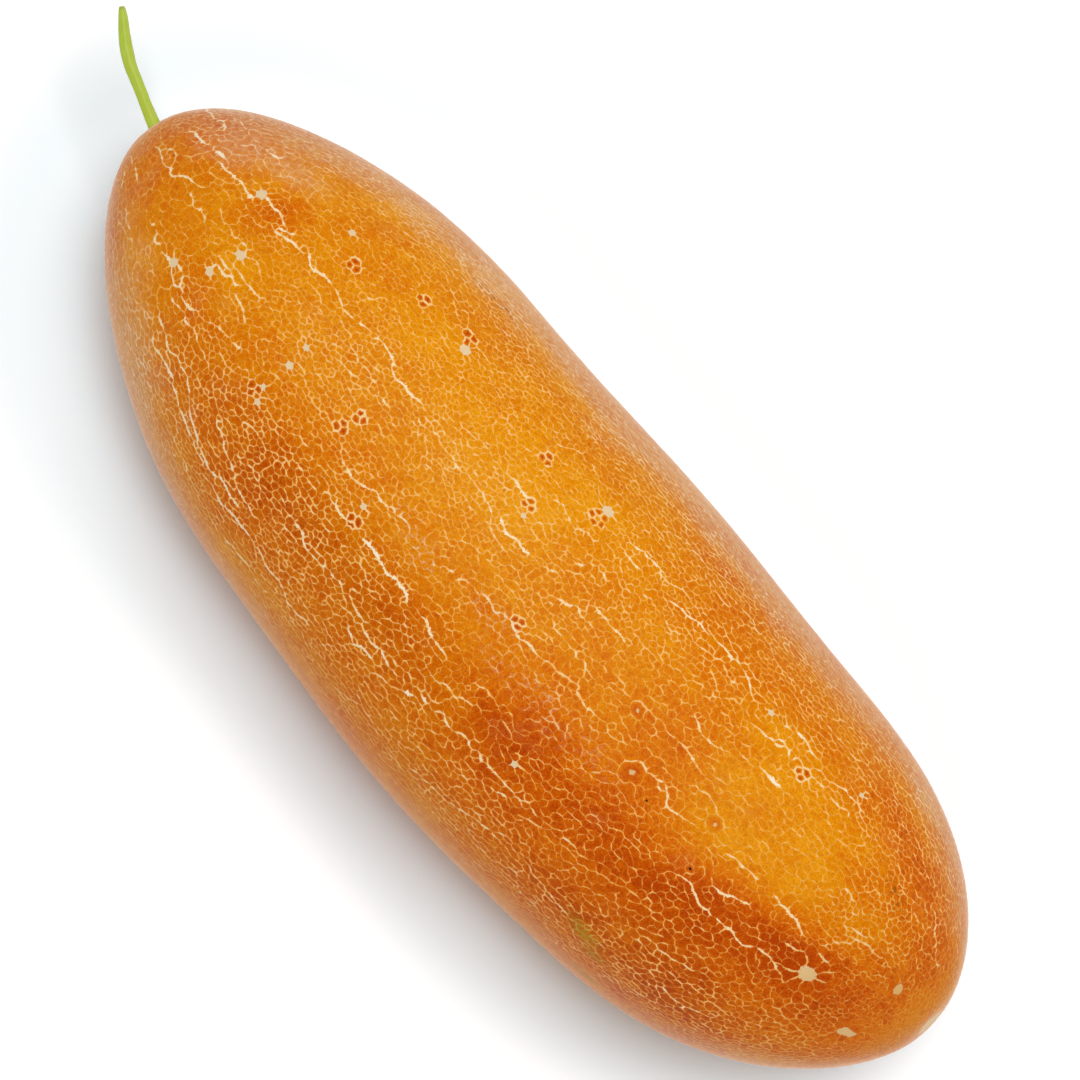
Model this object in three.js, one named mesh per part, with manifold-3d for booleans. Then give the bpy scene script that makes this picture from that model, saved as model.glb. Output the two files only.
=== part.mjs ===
// A ripe netted cucumber with its stalk, lying on its side. Millimetres, +Z up.
//
// The fruit lies along X: the stalk leaves it at the -X end and the blossom end is at +X.
// Two solids: the fruit, grown in one piece, and the stem, which sits in a shallow seat in the fruit's end.
// The origin is under the middle of the object, on the surface that it rests on.

import * as THREE from "three";
import { mergeVertices } from "three/addons/utils/BufferGeometryUtils.js";
import Module from "manifold-3d";

// Fruit: driving dimensions
const FRUIT_LENGTH = 230;
const FRUIT_WIDTH = 84; // across the widest section
const HEIGHT_TO_WIDTH = 0.96; // the flesh settles a little under its own weight
const STEM_SHARE = 0.526; // share of the length that lies on the stalk's side of the widest section
const STEM_TAPER = 2.9; // power of the outline there: the stalk's end is the slimmer, more tapered one
const BLOSSOM_TAPER = 3.55; // the blossom end is blunt
const END_ROUNDNESS = 0.54; // root of the outline at both ends; 0.5 would be an ellipse
const BOW = 6.4; // how far both ends swing to +Y, as a slight banana curve
const LEAN = 1.2; // how much further the blossom end swings than the stalk's end
const LOBES = 5; // low lengthwise ribs in the section
const LOBE_HEIGHT = 0.5;
const LOBE_TURN = Math.PI / 2;
const SWELL_HEIGHT = 0.55; // low waves in the girth, one after the other along the fruit
const SWELL_LENGTH = 74; // from one wave to the next
const SWELL_SHIFT = 4.6; // the middle wave's place along X
const FLAT_DEPTH = 1.0; // how much of the round underside is pressed flat where the fruit rests

// Stem: driving dimensions
const STEM_LENGTH = 23; // along its curve, outside the fruit
const STEM_SEATED = 3; // how far its foot goes into the fruit
const STEM_SIDEWAYS = 1.9; // its foot sits this far to +Y of the fruit's tip
const STEM_STATIONS = [
  // share of the stem's whole length from its foot, and its radius there
  { at: 0, radius: 1.35 },
  { at: 0.12, radius: 1.28 },
  { at: 0.25, radius: 1.16 },
  { at: 0.5, radius: 1.18 },
  { at: 0.68, radius: 1.24 },
  { at: 0.84, radius: 1.05 },
  { at: 0.96, radius: 0.74 },
  { at: 1, radius: 0.5 },
];
const STEM_FLUTES = 5;
const STEM_FLUTE_DEPTH = 0.08; // as a share of the radius
const SEAT_GAP = 0.3; // under the stem's foot
const SEAT_CLEARANCE = 0.4; // round the stem's foot, a little more because both walls are faceted
const SEAT_REACH = 0.3; // share of the stem's curve that the seat is cut along, past the fruit's skin

// Fineness of the two meshes
const FRUIT_SIDES = 40;
const FRUIT_RINGS_PER_HALF = 18;
const STEM_SIDES = 15;
const STEM_RINGS = 16;

const STEM_SIDE_LENGTH = FRUIT_LENGTH * STEM_SHARE;
const BLOSSOM_SIDE_LENGTH = FRUIT_LENGTH - STEM_SIDE_LENGTH;
const FRUIT_RADIUS = FRUIT_WIDTH / 2;

const wasm = await Module();
wasm.setup();

// ---- manifold-3d helpers: it only joins and cuts ----

function toSolid(geometry) {
  const bare = geometry.clone();
  bare.deleteAttribute("normal");
  bare.deleteAttribute("uv");
  const merged = mergeVertices(bare, 1e-4);
  return new wasm.Manifold(
    new wasm.Mesh({
      numProp: 3,
      vertProperties: new Float32Array(merged.attributes.position.array),
      triVerts: new Uint32Array(merged.index.array),
    }),
  );
}

function toGeometry(solid) {
  const mesh = solid.getMesh();
  const geometry = new THREE.BufferGeometry();
  geometry.setAttribute("position", new THREE.BufferAttribute(mesh.vertProperties, mesh.numProp));
  geometry.setIndex(new THREE.BufferAttribute(mesh.triVerts, 1));
  geometry.computeVertexNormals();
  return geometry;
}

function movePoints(geometry, move) {
  const points = geometry.attributes.position;
  const point = new THREE.Vector3();
  for (let i = 0; i < points.count; i += 1) {
    point.fromBufferAttribute(points, i);
    move(point);
    points.setXYZ(i, point.x, point.y, point.z);
  }
  return geometry;
}

// ---- Fruit ----

// Radius of the round section at x, before lobes: full in the middle, closing to nothing at both ends.
function fruitRadius(x) {
  const reach = x < 0 ? STEM_SIDE_LENGTH : BLOSSOM_SIDE_LENGTH;
  const taper = x < 0 ? STEM_TAPER : BLOSSOM_TAPER;
  const share = Math.min(Math.abs(x) / reach, 1);
  const fullness = (1 - share ** taper) ** END_ROUNDNESS;
  const swell = SWELL_HEIGHT * Math.cos((2 * Math.PI * (x - SWELL_SHIFT)) / SWELL_LENGTH);
  return (FRUIT_RADIUS - SWELL_HEIGHT + swell) * fullness;
}

// Where the fruit's midline lies to the side of the X axis.
function midline(x) {
  const share = x / (FRUIT_LENGTH / 2);
  return BOW * share ** 2 + LEAN * share ** 3;
}

// The outline from tip to tip, with its stations closer together at the two round ends.
function fruitOutline() {
  const outline = [];
  for (let ring = 0; ring <= 2 * FRUIT_RINGS_PER_HALF; ring += 1) {
    const angle = (Math.PI / 2) * (ring / FRUIT_RINGS_PER_HALF);
    const reach = ring < FRUIT_RINGS_PER_HALF ? STEM_SIDE_LENGTH : BLOSSOM_SIDE_LENGTH;
    const x = -reach * Math.cos(angle);
    const atTip = ring === 0 || ring === 2 * FRUIT_RINGS_PER_HALF;
    outline.push(new THREE.Vector2(atTip ? 0 : fruitRadius(x), x));
  }
  return outline;
}

// The lathe turns round Y, so the fruit is laid along X, then lobed, settled and bowed.
function fruitBody() {
  const body = new THREE.LatheGeometry(fruitOutline(), FRUIT_SIDES);
  body.rotateZ(-Math.PI / 2);
  return movePoints(body, (point) => {
    const radius = Math.hypot(point.y, point.z);
    const around = Math.atan2(point.z, point.y);
    const lobe = LOBE_HEIGHT * Math.cos(LOBES * around + LOBE_TURN) * (radius / FRUIT_RADIUS);
    const grown = radius > 0 ? (radius + lobe) / radius : 1;
    point.y = point.y * grown + midline(point.x);
    point.z = point.z * grown * HEIGHT_TO_WIDTH;
  });
}

// The ground's top face, as a slab as big as the fruit, which presses the underside flat.
function groundSlab(lowest) {
  const slab = new THREE.BoxGeometry(2 * FRUIT_LENGTH, 2 * FRUIT_WIDTH, FRUIT_WIDTH);
  slab.translate(0, 0, lowest + FLAT_DEPTH - FRUIT_WIDTH / 2);
  return slab;
}

// ---- Stem ----

// The stem's own curve, starting inside the fruit: it leaves along -X and turns towards +Y.
function stemCurve() {
  const root = new THREE.Vector3(-STEM_SIDE_LENGTH, midline(-STEM_SIDE_LENGTH) + STEM_SIDEWAYS, 0);
  const along = (out, side, up) => new THREE.Vector3(-out, side, up).add(root);
  return new THREE.CatmullRomCurve3([
    along(-STEM_SEATED, -0.7, 0),
    along(0, 0, 0),
    along(0.28 * STEM_LENGTH, 0.095 * STEM_LENGTH, 0.01 * STEM_LENGTH),
    along(0.56 * STEM_LENGTH, 0.2 * STEM_LENGTH, 0.03 * STEM_LENGTH),
    along(0.915 * STEM_LENGTH, 0.44 * STEM_LENGTH, 0.08 * STEM_LENGTH),
  ]);
}

function stemRadius(share) {
  const next = Math.max(1, STEM_STATIONS.findIndex((station) => station.at >= share));
  const a = STEM_STATIONS[next - 1];
  const b = STEM_STATIONS[next];
  return THREE.MathUtils.mapLinear(share, a.at, b.at, a.radius, b.radius);
}

// A fluted rod with closed ends: a straight lathe along Y, bent so that it follows the curve.
function stemRod(curve, { from, to, widen, flute }) {
  const outline = [new THREE.Vector2(0, from)];
  for (let ring = 0; ring <= STEM_RINGS; ring += 1) {
    const share = THREE.MathUtils.lerp(from, to, ring / STEM_RINGS);
    outline.push(new THREE.Vector2(stemRadius(share) + widen, share));
  }
  outline.push(new THREE.Vector2(0, to));
  const side = new THREE.Vector3();
  const up = new THREE.Vector3(0, 0, 1);
  return movePoints(new THREE.LatheGeometry(outline, STEM_SIDES), (point) => {
    const around = Math.atan2(point.z, point.x);
    const radius = Math.hypot(point.x, point.z) * (1 + flute * Math.cos(STEM_FLUTES * around));
    const share = point.y;
    const tangent = curve.getTangentAt(share);
    side.crossVectors(up, tangent).normalize();
    const rise = new THREE.Vector3().crossVectors(tangent, side);
    point.copy(curve.getPointAt(share));
    point.addScaledVector(side, radius * Math.sin(around));
    point.addScaledVector(rise, radius * Math.cos(around));
  });
}

// ---- Assembly ----

const curve = stemCurve();
const stemGeometry = stemRod(curve, { from: 0, to: 1, widen: 0, flute: STEM_FLUTE_DEPTH });
const seatCutter = stemRod(curve, { from: 0, to: SEAT_REACH, widen: SEAT_CLEARANCE, flute: 0 });
seatCutter.translate(SEAT_GAP, 0, 0);

const body = fruitBody();
body.computeBoundingBox();
const lowest = body.boundingBox.min.z;
const fruitSolid = toSolid(body).subtract(toSolid(groundSlab(lowest))).subtract(toSolid(seatCutter));

const fruit = new THREE.Mesh(
  toGeometry(fruitSolid),
  new THREE.MeshStandardMaterial({ color: 0xe08a1e, roughness: 0.5, metalness: 0 }),
);
fruit.name = "fruit";

const stem = new THREE.Mesh(
  toGeometry(toSolid(stemGeometry)),
  new THREE.MeshStandardMaterial({ color: 0xafc040, roughness: 0.6, metalness: 0 }),
);
stem.name = "stem";

// The group puts the middle of the whole object's box over the origin, with the flat underside at z = 0.
const group = new THREE.Group();
group.add(fruit, stem);
const box = new THREE.Box3().setFromObject(group);
const middle = box.getCenter(new THREE.Vector3());
group.position.set(-middle.x, -middle.y, -box.min.z);

export default group;
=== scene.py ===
# %% [markdown]
# # A ripe netted cucumber
#
# A cucumber left on the vine until it is ripe turns golden orange and grows a net of fine cork over its
# skin, where the skin cracked as it stretched and healed again. This lesson builds one, lying on its side
# with its green stalk.
#
# Two pieces come from the CAD model: `fruit` and `stem`. Both keep their size and place, and each gets a
# finished piece here that replaces it: a fruit whose net is real relief, and a stalk with ribs.

# %% Load the frame
import heapq
import math

import bpy
import numpy as np
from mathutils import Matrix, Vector, geometry


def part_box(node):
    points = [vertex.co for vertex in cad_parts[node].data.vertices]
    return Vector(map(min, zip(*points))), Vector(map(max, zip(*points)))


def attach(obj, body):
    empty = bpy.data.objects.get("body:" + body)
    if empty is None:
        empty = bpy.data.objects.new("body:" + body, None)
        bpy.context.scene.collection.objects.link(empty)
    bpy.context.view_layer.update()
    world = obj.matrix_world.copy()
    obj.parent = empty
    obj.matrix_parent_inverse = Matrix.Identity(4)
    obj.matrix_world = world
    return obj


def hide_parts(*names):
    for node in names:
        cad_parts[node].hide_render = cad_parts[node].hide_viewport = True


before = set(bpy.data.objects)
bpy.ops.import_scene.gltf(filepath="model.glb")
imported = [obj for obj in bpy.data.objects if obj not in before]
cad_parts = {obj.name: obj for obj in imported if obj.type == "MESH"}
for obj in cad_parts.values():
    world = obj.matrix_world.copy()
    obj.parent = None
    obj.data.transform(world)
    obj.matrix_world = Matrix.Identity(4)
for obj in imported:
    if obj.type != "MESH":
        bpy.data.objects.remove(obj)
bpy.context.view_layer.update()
MM = 0.001

# %% [markdown]
# ## Helpers
#
# Colours are written as the hex codes a painter would pick, and turned into the linear values Blender
# works in.


# %% Colour helper
def paint(code):
    """A hex colour such as E8900A as linear red, green, blue and alpha."""
    parts = [int(code[i : i + 2], 16) / 255 for i in (0, 2, 4)]
    return (*[p / 12.92 if p <= 0.04045 else ((p + 0.055) / 1.055) ** 2.4 for p in parts], 1.0)


# %% [markdown]
# All trees, for the light, for materials and for geometry, are made of the same steps: add a node, set
# it, and link what comes before it. A few helpers keep each of those steps on one line.


# %% Node helpers
def add_node(tree, kind, inputs=None, **settings):
    """Adds a node. An input's value is a plain value, or another node's output to link."""
    node = tree.nodes.new(kind)
    for name, value in settings.items():
        setattr(node, name, value)
    for key, value in (inputs or {}).items():
        if isinstance(value, bpy.types.NodeSocket):
            tree.links.new(value, node.inputs[key])
        else:
            node.inputs[key].default_value = value
    return node


def calculate(tree, operation, *values, clamp=False):
    node = add_node(tree, "ShaderNodeMath", dict(enumerate(values)), operation=operation, use_clamp=clamp)
    return node.outputs[0]


def noise(tree, place, wavelength, detail=2.0, **inputs):
    """Noise from 0 to 1 whose features are about one wavelength wide, in metres."""
    wanted = {"Vector": place, "Scale": 1 / wavelength, "Detail": detail, **inputs}
    return add_node(tree, "ShaderNodeTexNoise", wanted).outputs[0]


def make_input(tree, name, kind, start=None):
    socket = tree.interface.new_socket(name=name, in_out="INPUT", socket_type=kind)
    if start is not None:
        socket.default_value = start
    return socket


def start_geometry_tree(name, inputs):
    tree = bpy.data.node_groups.new(name, "GeometryNodeTree")
    make_input(tree, "Geometry", "NodeSocketGeometry")
    for input_name, kind, start in inputs:
        make_input(tree, input_name, kind, start)
    tree.interface.new_socket(name="Geometry", in_out="OUTPUT", socket_type="NodeSocketGeometry")
    return tree, tree.nodes.new("NodeGroupInput").outputs


def end_geometry_tree(tree, made, material):
    smooth = add_node(tree, "GeometryNodeSetShadeSmooth", {"Geometry": made}).outputs[0]
    real = add_node(tree, "GeometryNodeRealizeInstances", {"Geometry": smooth}).outputs[0]
    dressed = add_node(tree, "GeometryNodeSetMaterial", {"Geometry": real, "Material": material}).outputs[0]
    tree.links.new(dressed, tree.nodes.new("NodeGroupOutput").inputs[0])


def seeded_noise(tree, place, seed, scale, detail):
    """Noise from 0 to 1 that a geometry tree's seed changes."""
    wanted = {"Vector": place, "W": seed, "Scale": scale, "Detail": detail}
    return add_node(tree, "ShaderNodeTexNoise", wanted, noise_dimensions="4D").outputs[0]


def push_out(tree, made, amount):
    """Moves each point along its normal."""
    normal = tree.nodes.new("GeometryNodeInputNormal").outputs[0]
    moved = {0: normal, "Scale": amount}
    offset = add_node(tree, "ShaderNodeVectorMath", moved, operation="SCALE").outputs[0]
    return add_node(tree, "GeometryNodeSetPosition", {"Geometry": made, "Offset": offset}).outputs[0]


def keep_value(tree, made, name, value):
    """Stores a value on the points, so that the finished mesh still has it."""
    wanted = {"Geometry": made, "Name": name, "Value": value}
    node = add_node(tree, "GeometryNodeStoreNamedAttribute", wanted, data_type="FLOAT", domain="POINT")
    return node.outputs[0]


def run_tree(piece, tree, values):
    """Runs a geometry tree on a piece with these input values, and returns the result as a plain mesh."""
    modifier = piece.modifiers.new(tree.name, "NODES")
    modifier.node_group = tree
    for item in tree.interface.items_tree:
        if item.in_out == "INPUT" and item.name in values:
            modifier[item.identifier] = values[item.name]
    evaluated = piece.evaluated_get(bpy.context.evaluated_depsgraph_get())
    mesh = bpy.data.meshes.new_from_object(evaluated)
    piece.modifiers.remove(modifier)
    return mesh


def start_material(name):
    material = bpy.data.materials.new(name)
    material.use_nodes = True
    tree = material.node_tree
    shader = tree.nodes["Principled BSDF"]
    place = tree.nodes.new("ShaderNodeTexCoord").outputs["Object"]
    return material, tree, shader, place


def attribute(tree, name):
    return add_node(tree, "ShaderNodeAttribute", attribute_name=name).outputs["Fac"]


def blend(tree, amount, base, over, blend_type="MIX"):
    node = add_node(tree, "ShaderNodeMix", data_type="RGBA", blend_type=blend_type)
    for index, value in ((0, amount), (6, base), (7, over)):
        if isinstance(value, bpy.types.NodeSocket):
            tree.links.new(value, node.inputs[index])
        else:
            node.inputs[index].default_value = paint(value) if isinstance(value, str) else value
    return node.outputs[2]


def spread(tree, value, low, high, to_low=0.0, to_high=1.0, smooth=True):
    """Maps a range of values to another, held at both ends."""
    kind = "SMOOTHSTEP" if smooth else "LINEAR"
    limits = {"Value": value, "From Min": low, "From Max": high, "To Min": to_low, "To Max": to_high}
    return add_node(tree, "ShaderNodeMapRange", limits, interpolation_type=kind).outputs[0]


def colour_ramp(tree, amount, stops):
    node = add_node(tree, "ShaderNodeValToRGB", {"Fac": amount})
    while len(node.color_ramp.elements) < len(stops):
        node.color_ramp.elements.new(0.5)
    for element, (position, code) in zip(node.color_ramp.elements, stops):
        element.position = position
        element.color = paint(code)
    return node.outputs["Color"]


# %% [markdown]
# ## The camera, the light and the table
#
# The fruit lies slantwise under a camera that looks straight down on it, so both tips are on its outline.
# The camera turns about the vertical and nothing else. A long lens keeps the shape free of perspective.

# %% Camera
fruit_low, fruit_high = (np.array(corner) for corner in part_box("fruit"))
fruit_middle = (fruit_low + fruit_high) / 2
CAMERA_TURN = math.radians(49.5)
CAMERA_LENS = 100.0
CAMERA_SENSOR = 36.0
CAMERA_NEAR, CAMERA_FAR = 0.01, 20.0  # it sees nothing nearer or further than this
VIEW_WIDTH = 208.9 * MM  # what the camera takes in, at the height of the fruit's widest outline
VIEW_OFFSET = (-5.4 * MM, 12.2 * MM)  # from the middle of the fruit to the middle of the view

camera_data = bpy.data.cameras.new("camera")
camera_data.lens = CAMERA_LENS
camera_data.sensor_width = CAMERA_SENSOR
camera = bpy.data.objects.new("camera", camera_data)
camera_distance = VIEW_WIDTH * CAMERA_LENS / CAMERA_SENSOR
camera.location = (
    fruit_middle[0] + VIEW_OFFSET[0],
    fruit_middle[1] + VIEW_OFFSET[1],
    fruit_middle[2] + camera_distance,
)
camera.rotation_euler = (0, 0, CAMERA_TURN)
camera_data.clip_start = CAMERA_NEAR
camera_data.clip_end = CAMERA_FAR
bpy.context.collection.objects.link(camera)
bpy.context.scene.camera = camera
bpy.context.scene.view_settings.view_transform = "Standard"
print("camera is", round(camera_distance, 3), "m above the fruit's middle")

# %% [markdown]
# The light comes from one broad soft lamp almost overhead, which lays the shadow down on one side, and
# from a low band of white cloth all round, brighter on the side where the shadow falls, which keeps the
# fruit's flanks from going dark. Together they light a level surface at about 1, so that a colour shows
# as it is written.

# %% Light
BAND_MIDDLE = 1.42  # brightness of the band, half way between its two sides
BAND_TILT = -0.62  # how much its brightness changes towards +Y; below zero, the -Y side is the bright one
BAND_HEIGHT = 0.45  # where it has faded out, as the sine of the angle above the table
OVERHEAD = 0.03  # brightness of everything above the band
KEY_DISTANCE = 1.2  # from the fruit's middle, in metres
KEY_SIZE = 0.6
KEY_POWER = 12.5  # watts
KEY_LEAN = math.radians(13)  # away from straight above, towards +Y


def add_area_lamp(name, direction, distance, size, power):
    lamp_data = bpy.data.lights.new(name, "AREA")
    lamp_data.shape = "DISK"
    lamp_data.size = size
    lamp_data.energy = power
    lamp = bpy.data.objects.new(name, lamp_data)
    lamp.location = Vector(fruit_middle) + direction * distance
    lamp.rotation_euler = (-direction).to_track_quat("-Z", "Y").to_euler()
    bpy.context.collection.objects.link(lamp)
    return lamp


key_direction = Vector((0, math.sin(KEY_LEAN), math.cos(KEY_LEAN)))
add_area_lamp("key", key_direction, KEY_DISTANCE, KEY_SIZE, KEY_POWER)


def make_surround():
    """The low band of white cloth."""
    world = bpy.data.worlds.new("studio")
    world.use_nodes = True
    tree = world.node_tree
    place = tree.nodes.new("ShaderNodeTexCoord").outputs["Generated"]
    parts = add_node(tree, "ShaderNodeSeparateXYZ", {0: place}).outputs
    fading = spread(tree, parts["Z"], 0.0, BAND_HEIGHT, 1.0, 0.0)
    tilted = calculate(tree, "MULTIPLY_ADD", parts["Y"], BAND_TILT, BAND_MIDDLE)
    strength = calculate(tree, "MULTIPLY_ADD", tilted, fading, OVERHEAD)
    tree.links.new(strength, tree.nodes["Background"].inputs["Strength"])
    tree.nodes["Background"].inputs["Color"].default_value = (1, 1, 1, 1)
    return world


bpy.context.scene.world = make_surround()


# %% [markdown]
# The table is a white sheet. To the camera it is brighter than white where the lamp reaches it, so it
# burns out to a clean background and keeps only the fruit's shadow. Close to the fruit it is tinted
# against the orange light that the fruit throws on it, which keeps the shadow grey. How close is measured
# from a line along the fruit's middle, so that the tint follows the long shape. Far from the fruit, where
# no shadow reaches, it is plain white all the way to the horizon. Rays that light the fruit see it as
# white paper.

# %% Table
TABLE_SIZE = 6.0
# Besides the tint, these colours set how bright the sheet is at each distance from the fruit, which is
# painted light and shade that sets how deep the shadow is and how it fades out.
TABLE_NEAR, TABLE_MIDDLE, TABLE_FAR = (1.16, 1.33, 1.41, 1), (1.02, 1.12, 1.16, 1), (1.28, 1.28, 1.28, 1)
NEAR_REACH, MIDDLE_REACH, FAR_REACH = 45 * MM, 58 * MM, 77 * MM  # how far from the line each colour lies
HALF_LINE = 41 * MM  # half the length of the line along the fruit's middle
LINE_SHIFT = 8.5 * MM  # how far the line's own middle lies towards the stalk
PAST_ITS_ENDS = 0.7  # how much of the distance past its ends counts
TABLE_LIT = 0.88  # how white the sheet is to the light
WHITE_FROM, WHITE_AT = 0.17, 0.42  # from which distance it turns plain white to the camera, and where it is


def make_table_material():
    material, tree, _, place = start_material("white_sheet")
    shift = {0: place, 1: fruit_middle}
    place = add_node(tree, "ShaderNodeVectorMath", shift, operation="SUBTRACT").outputs[0]
    parts = add_node(tree, "ShaderNodeSeparateXYZ", {0: place}).outputs
    along = calculate(tree, "ABSOLUTE", calculate(tree, "ADD", parts["X"], LINE_SHIFT))
    beyond = calculate(tree, "MAXIMUM", calculate(tree, "SUBTRACT", along, HALF_LINE), 0.0)
    beyond = calculate(tree, "MULTIPLY", beyond, PAST_ITS_ENDS)
    reached = add_node(tree, "ShaderNodeCombineXYZ", {"X": beyond, "Y": parts["Y"]}).outputs[0]
    away = add_node(tree, "ShaderNodeVectorMath", {0: reached}, operation="LENGTH").outputs["Value"]
    colour = blend(tree, spread(tree, away, NEAR_REACH, MIDDLE_REACH), TABLE_NEAR, TABLE_MIDDLE)
    colour = blend(tree, spread(tree, away, MIDDLE_REACH, FAR_REACH), colour, TABLE_FAR)
    seen = add_node(tree, "ShaderNodeBsdfDiffuse", {"Color": colour}).outputs[0]
    white = add_node(tree, "ShaderNodeEmission", {"Color": (1, 1, 1, 1), "Strength": 1.0}).outputs[0]
    distance = add_node(tree, "ShaderNodeVectorMath", {0: place}, operation="LENGTH").outputs["Value"]
    far = spread(tree, distance, WHITE_FROM, WHITE_AT)
    seen = add_node(tree, "ShaderNodeMixShader", {0: far, 1: seen, 2: white}).outputs[0]
    lit = add_node(tree, "ShaderNodeBsdfDiffuse", {"Color": (TABLE_LIT, TABLE_LIT, TABLE_LIT, 1)}).outputs[0]
    rays = tree.nodes.new("ShaderNodeLightPath").outputs
    looking = calculate(tree, "MAXIMUM", rays["Is Camera Ray"], rays["Is Glossy Ray"])
    looking = calculate(tree, "MAXIMUM", looking, rays["Is Transmission Ray"])
    mix = add_node(tree, "ShaderNodeMixShader", {0: looking, 1: lit, 2: seen}).outputs[0]
    tree.links.new(mix, tree.nodes["Material Output"].inputs["Surface"])
    return material


half = TABLE_SIZE / 2
table_mesh = bpy.data.meshes.new("table")
table_corners = [(-half, -half, 0), (half, -half, 0), (half, half, 0), (-half, half, 0)]
table_mesh.from_pydata(table_corners, [], [(0, 1, 2, 3)])
table_mesh.materials.append(make_table_material())
table = bpy.data.objects.new("table", table_mesh)
bpy.context.collection.objects.link(table)

# %% [markdown]
# ## The fruit's shape
#
# The bare body is a formula, the same as in the CAD model: a round section whose radius falls away
# towards both tips, low waves along it, five low lobes round it, and a midline that bows to one side. A
# place on the skin is named by two angles: `station` runs from 0 at the stalk's tip to pi at the blossom
# tip, and `around` is 90 degrees on top.

# %% The bare skin
LENGTH = fruit_high[0] - fruit_low[0]
WIDTH = fruit_high[1] - fruit_low[1]
HEIGHT_TO_WIDTH = 0.96
STEM_SIDE = LENGTH * 0.526
BLOSSOM_SIDE = LENGTH - STEM_SIDE
STEM_TAPER, BLOSSOM_TAPER = 2.9, 3.55
END_ROUNDNESS = 0.54
BOW, LEAN = 6.4 * MM, 1.2 * MM
LOBES, LOBE_HEIGHT = 5, 0.5 * MM
SWELL_HEIGHT, SWELL_LENGTH, SWELL_SHIFT = 0.55 * MM, 74 * MM, 4.6 * MM
SHELL_GAP = 0.02 * MM  # keeps the skin a hair above the table, so that the two never share a face


def station_x(station):
    reach = np.where(station < math.pi / 2, STEM_SIDE, BLOSSOM_SIDE)
    return -reach * np.cos(station)


def section_radius(x):
    reach = np.where(x < 0, STEM_SIDE, BLOSSOM_SIDE)
    taper = np.where(x < 0, STEM_TAPER, BLOSSOM_TAPER)
    share = np.clip(np.abs(x) / reach, 0, 1)
    fullness = (1 - share**taper) ** END_ROUNDNESS
    swell = SWELL_HEIGHT * np.cos(2 * math.pi * (x - SWELL_SHIFT) / SWELL_LENGTH)
    return (WIDTH / 2 - SWELL_HEIGHT + swell) * fullness


def midline(x):
    share = x / (LENGTH / 2)
    return BOW * share**2 + LEAN * share**3


def bare_skin(station, around):
    """Points on the skin before it is set down, about the fruit's own widest section."""
    x = station_x(station)
    radius = section_radius(x) * (1 + LOBE_HEIGHT / (WIDTH / 2) * np.cos(LOBES * around + math.pi / 2))
    y = radius * np.cos(around) + midline(x)
    z = radius * np.sin(around) * HEIGHT_TO_WIDTH
    return np.stack([x, y, z], axis=-1)


# %% [markdown]
# The formula is set down where the CAD body lies: its stalk's end, sides and top are matched to the
# body's box, and what would sink below the table is pressed flat, as the weight of the fruit does. Each
# tip gets its own small dimple, one round the stalk and one at the scar where the flower was.

# %% Set the skin down
GRID_STATIONS, GRID_TURNS = 241, 361  # fine enough to find the widest places
STEM_SIDEWAYS = 1.9 * MM  # the stalk stands this far to +Y of the fruit's tip
FLOWER_SCAR = (-1.3 * MM, 2.2 * MM, 7.4 * MM)  # from the blossom tip to the scar's middle, a little above it

grid_stations, grid_turns = np.linspace(0, math.pi, GRID_STATIONS), np.linspace(0, 2 * math.pi, GRID_TURNS)
grid_station, grid_around = np.meshgrid(grid_stations, grid_turns)
grid = bare_skin(grid_station, grid_around)
shift = np.array(
    [
        fruit_low[0] + STEM_SIDE,
        (fruit_low[1] + fruit_high[1] - grid[..., 1].min() - grid[..., 1].max()) / 2,
        fruit_high[2] - grid[..., 2].max(),
    ]
)
stem_root = np.array([-STEM_SIDE, midline(-STEM_SIDE) + STEM_SIDEWAYS, 0]) + shift
blossom_tip = np.array([BLOSSOM_SIDE, midline(BLOSSOM_SIDE), 0]) + shift
flower_scar = blossom_tip + np.array(FLOWER_SCAR)
DIMPLES = (
    # place, way in along X, depth, reach
    (stem_root, 1, 0.9 * MM, 3.2 * MM),
    (flower_scar, -1, 0.5 * MM, 3.6 * MM),
)


def skin_points(station, around):
    points = bare_skin(station, around) + shift
    for place, way_in, depth, reach in DIMPLES:
        near_tip = (points[..., 0] - fruit_middle[0]) * way_in < 0
        gap = np.hypot(points[..., 1] - place[1], points[..., 2] - place[2])
        points[..., 0] += np.where(near_tip, way_in * depth * np.exp(-((gap / reach) ** 2)), 0)
    points[..., 2] = np.maximum(points[..., 2], SHELL_GAP)
    return points


print("skin is set down by", (shift / MM).round(2), "mm; widest radius", round(WIDTH / 2 / MM, 2), "mm")

# %% [markdown]
# ## The net: where the cells are
#
# Cork grows along the cracks between patches of skin, so the net is a pattern of cells. A texture could
# draw it, but lines in a mesh can be raised, widened and joined one by one. The cells are made as nature
# makes such patterns: seeds scattered over the skin, each owning what is nearest to it. The seeds keep a
# small distance from each other, which is less on top of the stalk's half and close to the tips, and more
# on the underside. They also stand further apart along the fruit than around it.

# %% Maps of the skin
CELL_GAP = 1.02 * MM
CELL_STRETCH = 1.16  # how much longer than wide a cell is, along the fruit
GAP_SPREAD = 0.17  # how unequal neighbouring cells are
WAVES, WAVE_GAIN = 12, 2.6


def soft_noise(points, wavelength, seed):
    """Smooth values about 0, mostly between -1 and 1, from a dozen crossing waves."""
    draws = np.random.default_rng(seed)
    directions = draws.normal(size=(WAVES, 3))
    directions /= np.linalg.norm(directions, axis=1)[:, None]
    lengths = wavelength * draws.uniform(0.6, 1.5, WAVES)
    phases = draws.uniform(0, 2 * math.pi, WAVES)
    waves = np.sin(points @ (2 * math.pi * directions / lengths[:, None]).T + phases)
    return waves.sum(axis=-1) / WAVES * WAVE_GAIN


def unwound(turn):
    """A turn as the same turn between half a turn back and half a turn on."""
    return turn - 2 * math.pi * np.round(turn / (2 * math.pi))


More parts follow.
